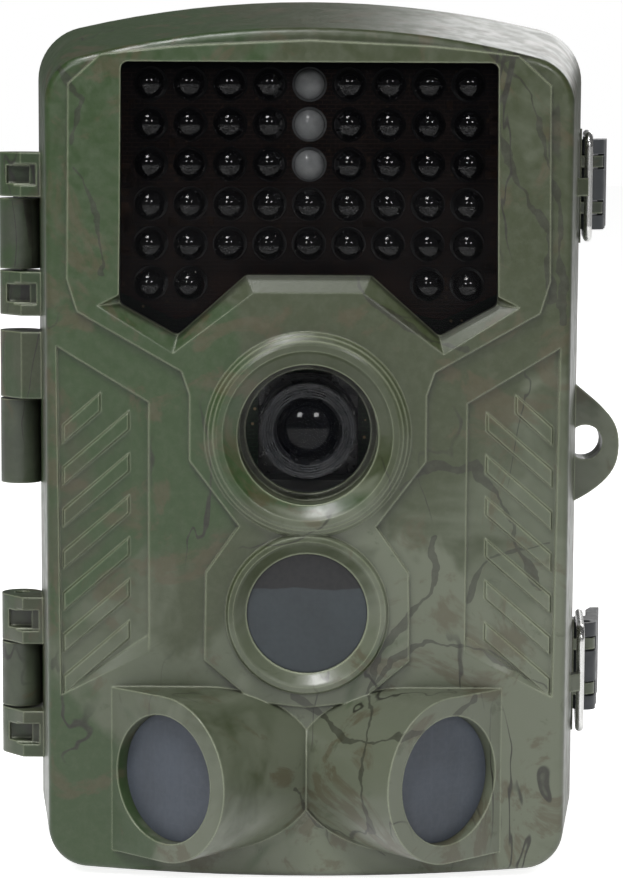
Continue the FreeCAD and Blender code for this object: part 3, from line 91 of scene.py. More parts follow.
# ---------------------------------------------------------------- node trees
class Graph:
    """One material's node tree, with short calls for the nodes that the finishes share."""

    def __init__(self, name: str) -> None:
        """Starts an empty tree with one surface shader.

        Args:
            name: the material's name.
        """
        self.material = bpy.data.materials.new(name)
        self.material.use_nodes = True
        self.tree = self.material.node_tree
        self.tree.nodes.clear()
        self.shader = self.tree.nodes.new("ShaderNodeBsdfPrincipled")
        output = self.tree.nodes.new("ShaderNodeOutputMaterial")
        self.tree.links.new(self.shader.outputs["BSDF"], output.inputs["Surface"])
        self._place: Optional[bpy.types.NodeSocket] = None

    def add(self, kind: str, inputs: Optional[dict[Union[str, int], object]] = None,
            **settings: object) -> bpy.types.Node:
        """Adds a node.

        Args:
            kind: the node's type name.
            inputs: values or sockets for its inputs, by name or number.
            **settings: properties set on the node itself.

        Returns:
            The new node.
        """
        node = self.tree.nodes.new(kind)
        for key, value in settings.items():
            setattr(node, key, value)
        for key, value in (inputs or {}).items():
            self.feed(node.inputs[key], value)
        return node

    def feed(self, socket: bpy.types.NodeSocket, value: object) -> None:
        """Links a socket, or sets its value when it is a plain one.

        Args:
            socket: the input that takes the value.
            value: another node's output, a number, a colour or a vector.
        """
        if isinstance(value, bpy.types.NodeSocket):
            self.tree.links.new(value, socket)
        elif socket.type == "RGBA" and len(value) == 3:
            socket.default_value = (*value, 1.0)
        else:
            socket.default_value = value

    def place(self) -> bpy.types.NodeSocket:
        """Gives the point on the piece in millimetres, in the frame at rest."""
        if self._place is None:
            coords = self.add("ShaderNodeTexCoord").outputs["Object"]
            scale = self.add("ShaderNodeVectorMath", {0: coords, 3: 1000.0}, operation="SCALE")
            self._place = scale.outputs[0]
        return self._place

    def axes(self) -> tuple[bpy.types.NodeSocket, bpy.types.NodeSocket, bpy.types.NodeSocket]:
        """Splits the point on the piece into X, Y and Z."""
        parts = self.add("ShaderNodeSeparateXYZ", {0: self.place()})
        return parts.outputs[0], parts.outputs[1], parts.outputs[2]

    def maths(self, operation: str, a: Value, b: Value = 0.0, c: Value = 0.0) -> bpy.types.NodeSocket:
        """Combines numbers with one arithmetic node."""
        return self.add("ShaderNodeMath", {0: a, 1: b, 2: c}, operation=operation).outputs[0]

    def stretched(self, x: float, y: float, z: float) -> bpy.types.NodeSocket:
        """Scales the point along each axis, for a pattern that runs one way."""
        return self.add("ShaderNodeVectorMath", {0: self.place(), 1: (x, y, z)}, operation="MULTIPLY").outputs[0]

    def noise(self, scale: float, detail: float = 3.0, rough: float = 0.55, warp: float = 0.0,
              at: Optional[bpy.types.NodeSocket] = None) -> bpy.types.NodeSocket:
        """Adds a cloud pattern.

        Args:
            scale: features per millimetre.
            detail: number of finer layers.
            rough: strength of the finer layers.
            warp: how far the pattern folds into itself.
            at: the point it is read at, or the point on the piece.

        Returns:
            A factor from 0 to 1.
        """
        node = self.add("ShaderNodeTexNoise", {"Vector": at or self.place(), "Scale": scale, "Detail": detail,
                                               "Roughness": rough, "Distortion": warp})
        return node.outputs[0]

    def step(self, value: Value, low: float, high: float, out_low: float = 0.0,
             out_high: float = 1.0) -> bpy.types.NodeSocket:
        """Ramps smoothly between two limits.

        Args:
            value: what is compared.
            low: where the ramp starts.
            high: where it ends.
            out_low: the result at the start.
            out_high: the result at the end.

        Returns:
            The ramped number.
        """
        node = self.add("ShaderNodeMapRange", interpolation_type="SMOOTHSTEP")
        for index, item in enumerate((value, low, high, out_low, out_high)):
            self.feed(node.inputs[index], item)
        return node.outputs[0]

    def blend(self, factor: Value, below: object, above: object, mode: str = "MIX") -> bpy.types.NodeSocket:
        """Mixes two colours."""
        node = self.add("ShaderNodeMix", data_type="RGBA", blend_type=mode)
        self.feed(node.inputs[0], factor)
        self.feed(node.inputs[6], below)
        self.feed(node.inputs[7], above)
        return node.outputs[2]

    def edges(self, radius_mm: float) -> tuple[bpy.types.NodeSocket, bpy.types.NodeSocket]:
        """Rounds the sharp edges in the shading.

        Args:
            radius_mm: the radius of the rounding.

        Returns:
            The rounded normal, and a mask that is 1 on the edges.
        """
        rounded = self.add("ShaderNodeBevel", {"Radius": radius_mm * MM}, samples=4).outputs[0]
        plain = self.add("ShaderNodeNewGeometry").outputs["Normal"]
        along = self.add("ShaderNodeVectorMath", {0: rounded, 1: plain}, operation="DOT_PRODUCT").outputs["Value"]
        return rounded, self.step(along, 0.995, 0.80)

    def bump(self, height: bpy.types.NodeSocket, depth_mm: float,
             normal: Optional[bpy.types.NodeSocket] = None) -> bpy.types.NodeSocket:
        """Turns a height into a surface normal.

        Args:
            height: the pattern, 0 to 1.
            depth_mm: how deep it is.
            normal: the normal that it changes, or the surface's own.

        Returns:
            The bumped normal.
        """
        node = self.add("ShaderNodeBump", {"Height": height, "Strength": 1.0, "Distance": depth_mm * MM})
        if normal is not None:
            self.feed(node.inputs["Normal"], normal)
        return node.outputs[0]

    def settle(self, **values: object) -> bpy.types.Material:
        """Sets the surface shader's inputs.

        Args:
            **values: inputs by name, with an underscore for each space.

        Returns:
            The finished material.
        """
        for key, value in values.items():
            self.feed(self.shader.inputs[key.replace("_", " ")], value)
        return self.material


def grain_height(graph: Graph, grain: Grain) -> bpy.types.NodeSocket:
    """Makes the fine texture of a mould.

    Args:
        graph: the tree that it goes in.
        grain: which texture.

    Returns:
        The height, 0 to 1.
    """
    density = grain.value[1]
    pits = graph.add("ShaderNodeTexVoronoi", {"Vector": graph.place(), "Scale": density},
                     feature="SMOOTH_F1").outputs[0]
    return graph.maths("ADD", graph.maths("MULTIPLY", pits, 0.6),
                       graph.maths("MULTIPLY", graph.noise(density * 1.7, 4), 0.4))


# ---------------------------------------------------------------- finishes
@dataclass(frozen=True)
class CamoPrint:
    """A woodland print under a satin lacquer: clouds of olive and green, brown smudges and thin twigs, with painted
    shade in its creases and painted highlights on its edges.
    """

    name: str
    base: Colour = linear(74, 80, 64)
    pale: Colour = linear(88, 93, 78)
    dull: Colour = linear(48, 55, 33)
    green: Colour = linear(36, 56, 24)
    brown: Colour = linear(66, 58, 40)
    twig: Colour = linear(26, 24, 19)
    green_side: float = 0.0
    gloss: float = 0.36
    twigs: tuple[Line, ...] = ()
    grain: Grain = Grain.SATIN

    def twig_mask(self, graph: Graph) -> bpy.types.NodeSocket:
        """Draws the long twigs as ragged lines on the face.

        Args:
            graph: the print's tree.

        Returns:
            A mask that is 1 on a twig.
        """
        wander = graph.add("ShaderNodeTexNoise", {"Vector": graph.place(), "Scale": 0.09, "Detail": 4.0}).outputs[1]
        shift = graph.add("ShaderNodeVectorMath", {0: wander, 1: (0.5, 0.5, 0.5)}, operation="SUBTRACT").outputs[0]
        moved = graph.add("ShaderNodeVectorMath", {0: shift, 1: (7.0, 0.0, 7.0), 2: graph.place()},
                          operation="MULTIPLY_ADD").outputs[0]
        flat = graph.add("ShaderNodeVectorMath", {0: moved, 1: (1.0, 0.0, 1.0)}, operation="MULTIPLY").outputs[0]
        width = graph.step(graph.noise(0.16, 2), 0.35, 0.7, 0.15, 0.80)
        mask: Value = 0.0
        for line in self.twigs:
            for (ax, az), (bx, bz) in zip(line, line[1:]):
                start = Vector((ax, 0.0, az))
                run = Vector((bx, 0.0, bz)) - start
                offset = graph.add("ShaderNodeVectorMath", {0: flat, 1: start}, operation="SUBTRACT").outputs[0]
                share = graph.add("ShaderNodeVectorMath", {0: offset, 1: run / run.length_squared},
                                  operation="DOT_PRODUCT")
                held = graph.add("ShaderNodeClamp", {0: share.outputs["Value"]}).outputs[0]
                along = graph.add("ShaderNodeVectorMath", {0: run, 3: held}, operation="SCALE").outputs[0]
                away = graph.add("ShaderNodeVectorMath", {0: offset, 1: along}, operation="DISTANCE").outputs["Value"]
                mask = graph.maths("MAXIMUM", mask, graph.maths("LESS_THAN", away, width))
        facing = graph.step(graph.axes()[1], -37.0, -39.5)
        return graph.maths("MULTIPLY", mask, facing)

    def build(self) -> bpy.types.Material:
        """Makes the printed finish.

        Returns:
            The material.
        """
        graph = Graph(self.name)
        across, _, up = graph.axes()
        low_side = graph.maths("SUBTRACT", graph.maths("MULTIPLY", across, 0.55), graph.maths("MULTIPLY", up, 0.9))
        slope = graph.step(low_side, -85.0, -10.0, -0.17, 0.17)
        cloud = graph.maths("ADD", graph.noise(0.040, 4, 0.6, 0.6), slope)
        colour = graph.blend(graph.step(cloud, 0.40, 0.58), self.dull, self.base)
        high = graph.maths("ADD", graph.noise(0.028, 4, 0.6, 1.0), slope)
        colour = graph.blend(graph.step(high, 0.50, 0.62, 0.0, 0.9), colour, self.pale)
        leaning = graph.maths("ADD", across, graph.maths("MULTIPLY", graph.maths("SUBTRACT", up, 60.0), -0.12))
        side = graph.step(leaning, -4.0, -27.0, -0.07, self.green_side)
        clump = graph.maths("ADD", graph.noise(0.026, 4, 0.55, 1.2), side)
        colour = graph.blend(graph.step(clump, 0.56, 0.66, 0.0, 0.92), colour, self.green)
        colour = graph.blend(graph.step(graph.noise(0.055, 5, 0.65, 1.8), 0.53, 0.62, 0.0, 0.6), colour, self.brown)
        fleck = graph.step(graph.noise(0.16, 5, 0.7, 1.0), 0.60, 0.68, 0.0, 0.4)
        colour = graph.blend(fleck, colour, self.dull)
        streak = graph.maths("ABSOLUTE", graph.maths(
            "SUBTRACT", graph.noise(0.045, 3, 0.5, 0.9, graph.stretched(1.3, 1.0, 0.6)), 0.5))
        thin = graph.maths("MULTIPLY", graph.step(streak, 0.011, 0.003), graph.step(graph.noise(0.03, 2), 0.5, 0.6))
        colour = graph.blend(graph.maths("MULTIPLY", thin, 0.88), colour, self.twig)
        if self.twigs:
            colour = graph.blend(graph.maths("MULTIPLY", self.twig_mask(graph), 0.62), colour, self.twig)
        colour = graph.blend(graph.step(graph.noise(0.7, 4, 0.7), 0.35, 0.75, 0.0, 0.16), colour, self.pale)
        rounded, edge = graph.edges(0.55)
        # Painted shade: creases and recesses found by ambient occlusion are darkened towards the twig colour.
        painted_crease_shade = graph.add("ShaderNodeAmbientOcclusion", {"Distance": 2.2 * MM}, samples=4).outputs["AO"]
        colour = graph.blend(graph.step(painted_crease_shade, 0.85, 0.35, 0.0, 0.6), colour, shaded(self.twig, 0.8))
        # Painted highlight: the rounded edges are lightened towards a pale olive.
        colour = graph.blend(graph.maths("MULTIPLY", edge, 0.40), colour, linear(188, 196, 166))
        rough = graph.step(graph.noise(0.35, 4), 0.3, 0.75, self.gloss - 0.06, self.gloss + 0.10)
        normal = graph.bump(grain_height(graph, self.grain), self.grain.value[0], rounded)
        return graph.settle(Base_Color=colour, Roughness=rough, Normal=normal, Coat_Weight=0.12, Coat_Roughness=0.2,
                            Specular_IOR_Level=0.45)


@dataclass(frozen=True)
class Moulded:
    """Moulded plastic or rubber with a mould texture, cloudy colour and paler edges, part handling wear and part
    painted highlight.
    """

    name: str
    colour: Colour
    rough: float = 0.5
    grain: Grain = Grain.SATIN
    edge_wear_and_highlight: EdgeWearAndHighlight = EdgeWearAndHighlight.LIGHT
    cloud: float = 0.25
    coat: float = 0.0

    def build(self) -> bpy.types.Material:
        """Makes the moulded finish.

        Returns:
            The material.
        """
        graph = Graph(self.name)
        colour = graph.blend(graph.step(graph.noise(0.12, 4, 0.6), 0.3, 0.7), shaded(self.colour, 1 - self.cloud),
                             shaded(self.colour, 1 + self.cloud))
        rounded, edge = graph.edges(0.3)
        # Paler edges: part handling wear, part painted highlight along the rounded edges.
        pale = tuple(min(1.0, part * 1.5 + 0.10) for part in self.colour)
        colour = graph.blend(graph.maths("MULTIPLY", edge, self.edge_wear_and_highlight.value), colour, pale)
        rough = graph.step(graph.noise(0.5, 4), 0.3, 0.7, max(0.05, self.rough - 0.08), min(1.0, self.rough + 0.08))
        normal = graph.bump(grain_height(graph, self.grain), self.grain.value[0], rounded)
        return graph.settle(Base_Color=colour, Roughness=rough, Normal=normal, Coat_Weight=self.coat,
                            Coat_Roughness=0.2)


@dataclass(frozen=True)
class DrawnMetal:
    """Drawn, rolled or turned metal with fine lines along its length and dull patches."""

    name: str
    colour: Colour
    rough: float = 0.28
    lines: tuple[float, float, float] = (6.0, 6.0, 0.3)
    tarnish: Colour = linear(96, 92, 84)

    def build(self) -> bpy.types.Material:
        """Makes the metal finish.

        Returns:
            The material.
        """
        graph = Graph(self.name)
        drawn = graph.noise(1.0, 5, 0.7, at=graph.stretched(*self.lines))
        colour = graph.blend(graph.step(graph.noise(0.3, 5, 0.65), 0.55, 0.78, 0.0, 0.45), self.colour, self.tarnish)
        colour = graph.blend(graph.step(drawn, 0.3, 0.7, 0.0, 0.25), colour, shaded(self.colour, 0.7))
        rough = graph.step(drawn, 0.3, 0.7, self.rough - 0.08, self.rough + 0.12)
        rounded, _ = graph.edges(0.12)
        return graph.settle(Base_Color=colour, Metallic=1.0, Roughness=rough, Normal=graph.bump(drawn, 0.006, rounded))


@dataclass(frozen=True)
class Pane:
    """A clear or tinted window that light passes through, with faint dust and moulding waves."""

    name: str
    colour: Colour
    solid: float
    rough: float = 0.05
    dust: Colour = linear(150, 150, 140)

    def build(self) -> bpy.types.Material:
        """Makes the window finish.

        Returns:
            The material.
        """
        graph = Graph(self.name)
        specks = graph.step(graph.noise(1.1, 5, 0.8), 0.66, 0.76, 0.0, 0.10)
        colour = graph.blend(specks, self.colour, self.dust)
        opacity = graph.maths("ADD", specks, self.solid)
        waves = graph.bump(graph.noise(0.05, 2), 0.05)
        rough = graph.step(graph.noise(0.2, 4), 0.35, 0.75, self.rough, self.rough + 0.07)
        return graph.settle(Base_Color=colour, Alpha=opacity, Roughness=rough, Normal=waves, Specular_IOR_Level=0.12)


@dataclass(frozen=True)
class CoatedGlass:
    """Coated optical glass: nearly black, with a bluish painted reflection of its coating towards its edge."""

    name: str
    heart: Colour = linear(4, 5, 8)
    coating_reflection_tint: Colour = linear(20, 24, 44)
    solid: float = 1.0

    def build(self) -> bpy.types.Material:
        """Makes the lens finish.

        Returns:
            The material.
        """
        graph = Graph(self.name)
        # Painted reflection: the coating's tint is blended in by view angle, strongest where the surface turns away,
        # and a little in random patches.
        rim = graph.add("ShaderNodeLayerWeight", {"Blend": 0.35}).outputs["Facing"]
        colour = graph.blend(graph.step(rim, 0.15, 0.8), self.heart, self.coating_reflection_tint)
        colour = graph.blend(graph.step(graph.noise(0.25, 4), 0.45, 0.8, 0.0, 0.25), colour, self.coating_reflection_tint)
        rough = graph.step(graph.noise(0.1, 2), 0.4, 0.8, 0.02, 0.04)
        return graph.settle(Base_Color=colour, Roughness=rough, Alpha=self.solid, Coat_Weight=0.0, Coat_Roughness=0.03,
                            Specular_IOR_Level=0.22)


@dataclass(frozen=True)
class CastEpoxy:
    """Cast epoxy of a lamp: dark or water-clear, with a slight haze."""

    name: str
    colour: Colour
    haze: Colour
    clear: float = 0.0
    solid: float = 1.0

    def build(self) -> bpy.types.Material:
        """Makes the epoxy finish.

        Returns:
            The material.
        """
        graph = Graph(self.name)
        cloud = graph.step(graph.noise(0.6, 4), 0.35, 0.75)
        rough = graph.step(graph.noise(0.3, 3), 0.3, 0.8, 0.03, 0.06)
        return graph.settle(Base_Color=graph.blend(cloud, self.colour, self.haze), Roughness=rough, IOR=1.53,
                            Transmission_Weight=self.clear, Alpha=self.solid, Specular_IOR_Level=0.9,
                            Coat_Weight=1.0, Coat_Roughness=0.03)


@dataclass(frozen=True)
class SensorFilm:
    """Milky slate-grey lens film with a shallow honeycomb of facets behind it, and optionally a painted dark reflection
    across its top.
    """

    name: str
    colour: Colour = linear(54, 60, 69)
    pitch: float = 0.42
    painted_reflection_z: Optional[float] = None

    def build(self) -> bpy.types.Material:
        """Makes the film.

        Returns:
            The material.
        """
        graph = Graph(self.name)
        cells = graph.add("ShaderNodeTexVoronoi", {"Vector": graph.place(), "Scale": self.pitch, "Randomness": 0.15},
                          feature="DISTANCE_TO_EDGE").outputs[0]
        seams = graph.step(cells, 0.0, 0.08, 0.10, 0.0)
        colour = graph.blend(graph.step(graph.noise(0.1, 3), 0.3, 0.7), shaded(self.colour, 0.9),
                             shaded(self.colour, 1.12))
        colour = graph.blend(seams, colour, shaded(self.colour, 1.7))
        if self.painted_reflection_z is not None:
            # Painted reflection: above the given height the film is painted near-black, with a ragged edge.
            painted_reflection_edge = graph.maths("ADD", graph.axes()[2], graph.maths("MULTIPLY", graph.noise(0.12, 3), 1.6))
            colour = graph.blend(graph.step(painted_reflection_edge, self.painted_reflection_z, self.painted_reflection_z + 0.25), colour, linear(9, 10, 13))
        rough = graph.step(graph.noise(1.2, 4), 0.3, 0.7, 0.50, 0.62)
        return graph.settle(Base_Color=colour, Roughness=rough, Normal=graph.bump(cells, 0.02), Sheen_Weight=0.1)


@dataclass(frozen=True)
class CircuitBoard:
    """Solder mask over tracks, with tinned pads in rows."""

    name: str
    mask: Colour = linear(24, 52, 34)
    track: Colour = linear(44, 82, 52)
    pad: Colour = linear(176, 160, 120)

    def build(self) -> bpy.types.Material:
        """Makes the board's finish.

        Returns:
            The material.
        """
        graph = Graph(self.name)
        flow = graph.add("ShaderNodeTexBrick", {"Vector": graph.stretched(1.0, 1.0, 1.0), "Scale": 0.35,
                                                "Mortar Size": 0.02, "Color1": (1, 1, 1, 1), "Color2": (1, 1, 1, 1),
                                                "Mortar": (0, 0, 0, 1)})
        turn = graph.add("ShaderNodeVectorRotate", {0: graph.place()}, rotation_type="X_AXIS")
        turn.inputs["Angle"].default_value = math.pi / 2
        graph.feed(flow.inputs["Vector"], turn.outputs[0])
        tracks = graph.step(flow.outputs[1], 0.2, 0.8)
        colour = graph.blend(tracks, self.mask, self.track)
        spots = graph.add("ShaderNodeTexVoronoi", {"Vector": graph.place(), "Scale": 0.55}).outputs[0]
        pads = graph.step(spots, 0.16, 0.13)
        colour = graph.blend(pads, colour, self.pad)
        rough = graph.step(graph.noise(0.4, 3), 0.3, 0.7, 0.28, 0.42)
        height = graph.maths("ADD", tracks, pads)
        return graph.settle(Base_Color=colour, Roughness=rough, Metallic=graph.maths("MULTIPLY", pads, 0.8),
                            Normal=graph.bump(height, 0.02))


@dataclass(frozen=True)
class CellJacket:
    """A battery cell's printed sleeve between bare metal ends, banded by height."""

    name: str
    low: float
    high: float
    sleeve: Colour = linear(34, 38, 44)
    band: Colour = linear(188, 120, 52)
    metal: Colour = linear(178, 178, 174)

    def build(self) -> bpy.types.Material:
        """Makes the sleeve.

        Returns:
            The material.
        """
        graph = Graph(self.name)
        height = graph.axes()[2]
        covered = graph.maths("MULTIPLY", graph.maths("GREATER_THAN", height, self.low + 1.2),
                              graph.maths("LESS_THAN", height, self.high - 2.6))
        banded = graph.maths("GREATER_THAN", height, self.high - 14.0)
        print_ = graph.blend(banded, self.sleeve, self.band)
        print_ = graph.blend(graph.step(graph.noise(0.3, 5, 0.7), 0.5, 0.8, 0.0, 0.3), print_, shaded(self.metal, 0.5))
        colour = graph.blend(covered, self.metal, print_)
        rough = graph.step(graph.noise(0.8, 4), 0.3, 0.7, 0.25, 0.40)
        bare = graph.maths("SUBTRACT", 1.0, covered)
        return graph.settle(Base_Color=colour, Roughness=rough, Metallic=bare,
                            Normal=graph.bump(graph.noise(2.0, 3), 0.005))


# ---------------------------------------------------------------- meshes
def islands(node: str) -> list[tuple[Vector, Vector]]:
    """Finds the separate solids of a CAD node.

    Args:
        node: the node's name.

    Returns:
        The lowest and highest corner of each, in metres.
    """
    copy = bmesh.new()
    copy.from_mesh(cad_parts[node].data)
    bmesh.ops.remove_doubles(copy, verts=copy.verts, dist=1e-6)
    seen: set[bmesh.types.BMVert] = set()
    boxes = []
    for first in copy.verts:
        if first in seen:
            continue
        seen.add(first)
        group, queue = [], [first]
        while queue:
            vert = queue.pop()
            group.append(vert.co.copy())
            for edge in vert.link_edges:
                other = edge.other_vert(vert)
                if other not in seen:
                    seen.add(other)
                    queue.append(other)
        low = Vector([min(co[i] for co in group) for i in range(3)])
        high = Vector([max(co[i] for co in group) for i in range(3)])
        boxes.append((low, high))
    copy.free()
    return sorted(boxes, key=lambda pair: (round(pair[0].z, 4), pair[0].x))


class Maker:
    """Collects the faces of one piece and turns them into an object."""

    def __init__(self) -> None:
        """Starts with no faces."""
        self.mesh = bmesh.new()

    def turned(self, foot: Vector, axis: Vector, profile: Sequence[tuple[float, float]], steps: int = 32) -> None:
        """Adds a body turned about an axis.

        Args:
            foot: the point that the profile's heights start from, in metres.
            axis: the direction of the heights.
            profile: (radius, height) pairs in millimetres, from one end to the other.
            steps: points around the axis.
        """
        turn = axis.to_track_quat("Z", "Y")
        rings = []
        for radius, height in profile:
            if radius <= 1e-6:
                rings.append([self.mesh.verts.new(foot + turn @ Vector((0, 0, height * MM)))])
                continue
            ring = []
            for k in range(steps):
                angle = 2 * math.pi * k / steps
                spot = Vector((radius * MM * math.cos(angle), radius * MM * math.sin(angle), height * MM))
                ring.append(self.mesh.verts.new(foot + turn @ spot))
            rings.append(ring)
        for low, high in zip(rings, rings[1:]):
            for k in range(steps):
                corners = [low[k % len(low)], low[(k + 1) % len(low)], high[(k + 1) % len(high)], high[k % len(high)]]
                unique = list(dict.fromkeys(corners))
                if len(unique) > 2:
                    self.mesh.faces.new(unique)

    def block(self, low: Vector, high: Vector, round_mm: float = 0.08) -> None:
        """Adds a box with rounded edges.

        Args:
            low: its lowest corner.
            high: its highest corner.
            round_mm: the radius of its edges.
        """
        size, middle = high - low, (high + low) / 2
        made = bmesh.ops.create_cube(self.mesh, size=1.0,
                                     matrix=Matrix.Translation(middle) @ Matrix.Diagonal((*size, 1.0)))
        sides = list({edge for vert in made["verts"] for edge in vert.link_edges})
        bmesh.ops.bevel(self.mesh, geom=sides, offset=round_mm * MM, segments=2, affect="EDGES", profile=0.5)

    def plate(self, outline: Sequence[Vector], push: Vector) -> None:
        """Adds a flat outline pushed out to a thickness.

        Args:
            outline: its corners, in metres.
            push: the thickness as a vector.
        """
        base = [self.mesh.verts.new(point) for point in outline]
        top = [self.mesh.verts.new(point + push) for point in outline]
        count = len(outline)
        self.mesh.faces.new(base)
        self.mesh.faces.new(list(reversed(top)))
        for k in range(count):
            self.mesh.faces.new([base[k], top[k], top[(k + 1) % count], base[(k + 1) % count]])

    def done(self, name: str, body: str, finish: bpy.types.Material) -> bpy.types.Object:
        """Makes the object, and lets it ride on its body.

        Args:
            name: the piece's name.
            body: the CAD body that carries it.
            finish: its material.

        Returns:
            The new object.
        """
        bmesh.ops.recalc_face_normals(self.mesh, faces=self.mesh.faces)
        data = bpy.data.meshes.new(name)
        self.mesh.to_mesh(data)
        self.mesh.free()
        data.materials.append(finish)
        for face in data.polygons:
            face.use_smooth = True
        data.set_sharp_from_angle(angle=math.radians(35))
        piece = bpy.data.objects.new(name, data)
        bpy.context.scene.collection.objects.link(piece)
        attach(piece, body)
        LOG.info("%s: %d faces, rides on %s", name, len(data.polygons), body)
        return piece


def dress(nodes: Iterable[str], finish: bpy.types.Material) -> None:
    """Gives CAD nodes a material.

    Args:
        nodes: their names.
        finish: the material.
    """
    for node in nodes:
        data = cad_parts[node].data
        data.materials.clear()
        data.materials.append(finish)
        LOG.info("%s: %s", node, finish.name)


# ---------------------------------------------------------------- sub-assemblies
@dataclass
class CaseShells:
    """The two printed halves, their seal, hinge pins and padlock lug."""

    twigs: tuple[Line, ...] = (
        ((19.2, 141.1), (25.7, 139.9), (31.4, 134.8), (35.4, 128.7), (38.3, 120.8), (40.3, 108.1), (41.2, 92.2)),
        ((31.4, 134.8), (37.8, 137.0), (41.9, 134.8)),
        ((31.0, 124.8), (33.8, 116.0), (38.3, 106.5), (39.6, 97.0)),
        ((15.2, 64.7), (20.8, 69.8), (27.3, 70.1), (33.8, 58.0), (39.5, 47.9)),
        ((20.8, 58.0), (19.2, 47.9), (13.5, 39.5), (9.8, 31.1), (8.7, 21.0), (9.8, 10.9)),
        ((25.7, 47.9), (30.6, 54.6), (40.3, 57.2)),
        ((-37.8, 117.6), (-34.6, 110.5), (-33.6, 101.0)),
        ((-1.9, 30.3), (5.4, 25.2), (17.6, 27.4), (28.1, 31.1)),
        ((-1.9, 16.0), (3.0, 9.3), (12.7, 4.2)),
        ((-40.8, 133.5), (-35.6, 129.5), (-37.8, 122.4)),
        ((5.4, 101.8), (10.3, 95.4), (19.2, 89.1), (25.7, 89.1)),
        ((11.1, 32.8), (19.2, 39.5), (28.9, 37.8), (39.5, 32.8)),
    )

    def build(self) -> None:
        """Dresses both halves and what joins them."""
        dress(["front_case"], CamoPrint("camo_front", green_side=0.17, twigs=self.twigs).build())
        dress(["rear_case"], CamoPrint("camo_rear", base=linear(66, 73, 58), pale=linear(84, 90, 74),
                                       dull=linear(48, 54, 42), green_side=0.05, gloss=0.42).build())
        dress(["case_seal", "port_cover"], Moulded("seal_rubber", linear(30, 32, 30), 0.7, Grain.LEATHERY).build())
        dress(["hinge_pin_upper", "hinge_pin_middle", "hinge_pin_lower", "latch_pin_upper", "latch_pin_lower"],
              DrawnMetal("pin_steel", linear(170, 170, 172)).build())


@dataclass
class LampPanel:
    """The tinted window, its lamps, the cups inside the flash lamps and the board behind."""

    cup_r: float = 1.55
    cup_deep: float = 1.1
    die: float = 0.32
    chips: int = 64
    seed: int = 11

    def cups(self, node: str, name: str, finish: bpy.types.Material, sunk: float) -> None:
        """Makes a reflector cup with its die in each lamp of a node.

        Args:
            node: the CAD node with the lamps.
            name: the new piece's name.
            finish: the cups' material.
            sunk: how far behind the lamp's tip the cup's rim is, in millimetres.
        """
        maker = Maker()
        for low, high in islands(node):
            rim = Vector(((low.x + high.x) / 2, low.y + sunk * MM, (low.z + high.z) / 2))
            back = Vector((0, 1, 0))
            maker.turned(rim, back, [(self.cup_r, 0.0), (self.cup_r + 0.12, 0.1),
                                     (self.cup_r + 0.12, self.cup_deep + 0.2), (0, self.cup_deep + 0.2)], 20)
            maker.turned(rim, back, [(self.cup_r, 0.0), (self.cup_r * 0.55, self.cup_deep), (0, self.cup_deep)], 20)
            half = self.die * MM
            base = rim + back * self.cup_deep * MM
            maker.block(base - Vector((half, half * 1.2, half)), base + Vector((half, 0, half)), 0.03)
        maker.done(name, Half.FRONT.value, finish)

    def surface_parts(self, finish: bpy.types.Material) -> None:
        """Scatters the small resistors between the lamps, on the board.

        Args:
            finish: their material.
        """
        rng = random.Random(self.seed)
        low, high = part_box("led_board")
        lamps = [((a + b) / 2) for node in ("ir_leds", "flash_leds") for a, b in islands(node)]
        maker = Maker()
        made = 0
        for _ in range(self.chips * 12):
            spot = Vector((rng.uniform(low.x + 0.003, high.x - 0.003), low.y,
                           rng.uniform(low.z + 0.009, high.z - 0.003)))
            if min(math.hypot(spot.x - lamp.x, spot.z - lamp.z) for lamp in lamps) < 0.0042:
                continue
            size = rng.choice([(0.8, 0.5), (0.5, 0.8), (1.0, 0.6)])
            maker.block(spot - Vector((size[0] * MM, 0.5 * MM, size[1] * MM)),
                        spot + Vector((size[0] * MM, 0, size[1] * MM)), 0.1)
            made += 1
            if made == self.chips:
                break
        maker.done("lamp_board_parts", Half.FRONT.value, finish)

    def build(self) -> None:
        """Dresses the panel and makes its small parts."""
        dress(["led_window"], Pane("tinted_window", linear(3, 3, 4), 0.40, 0.03).build())
        dress(["ir_leds"], CastEpoxy("dark_epoxy", linear(3, 3, 4), linear(6, 6, 8)).build())
        dress(["flash_leds"],
              CastEpoxy("clear_epoxy", linear(210, 213, 215), linear(235, 237, 239), solid=0.75).build())
        dress(["led_board"], CircuitBoard("lamp_board", mask=linear(58, 36, 28), track=linear(104, 72, 56),
                                          pad=linear(120, 96, 76)).build())
        metal = DrawnMetal("cup_metal", linear(205, 205, 200), 0.2).build()
        self.cups("flash_leds", "flash_cups", metal, 1.3)
        self.surface_parts(Moulded("resistor", linear(92, 62, 40), 0.4, cloud=0.5).build())


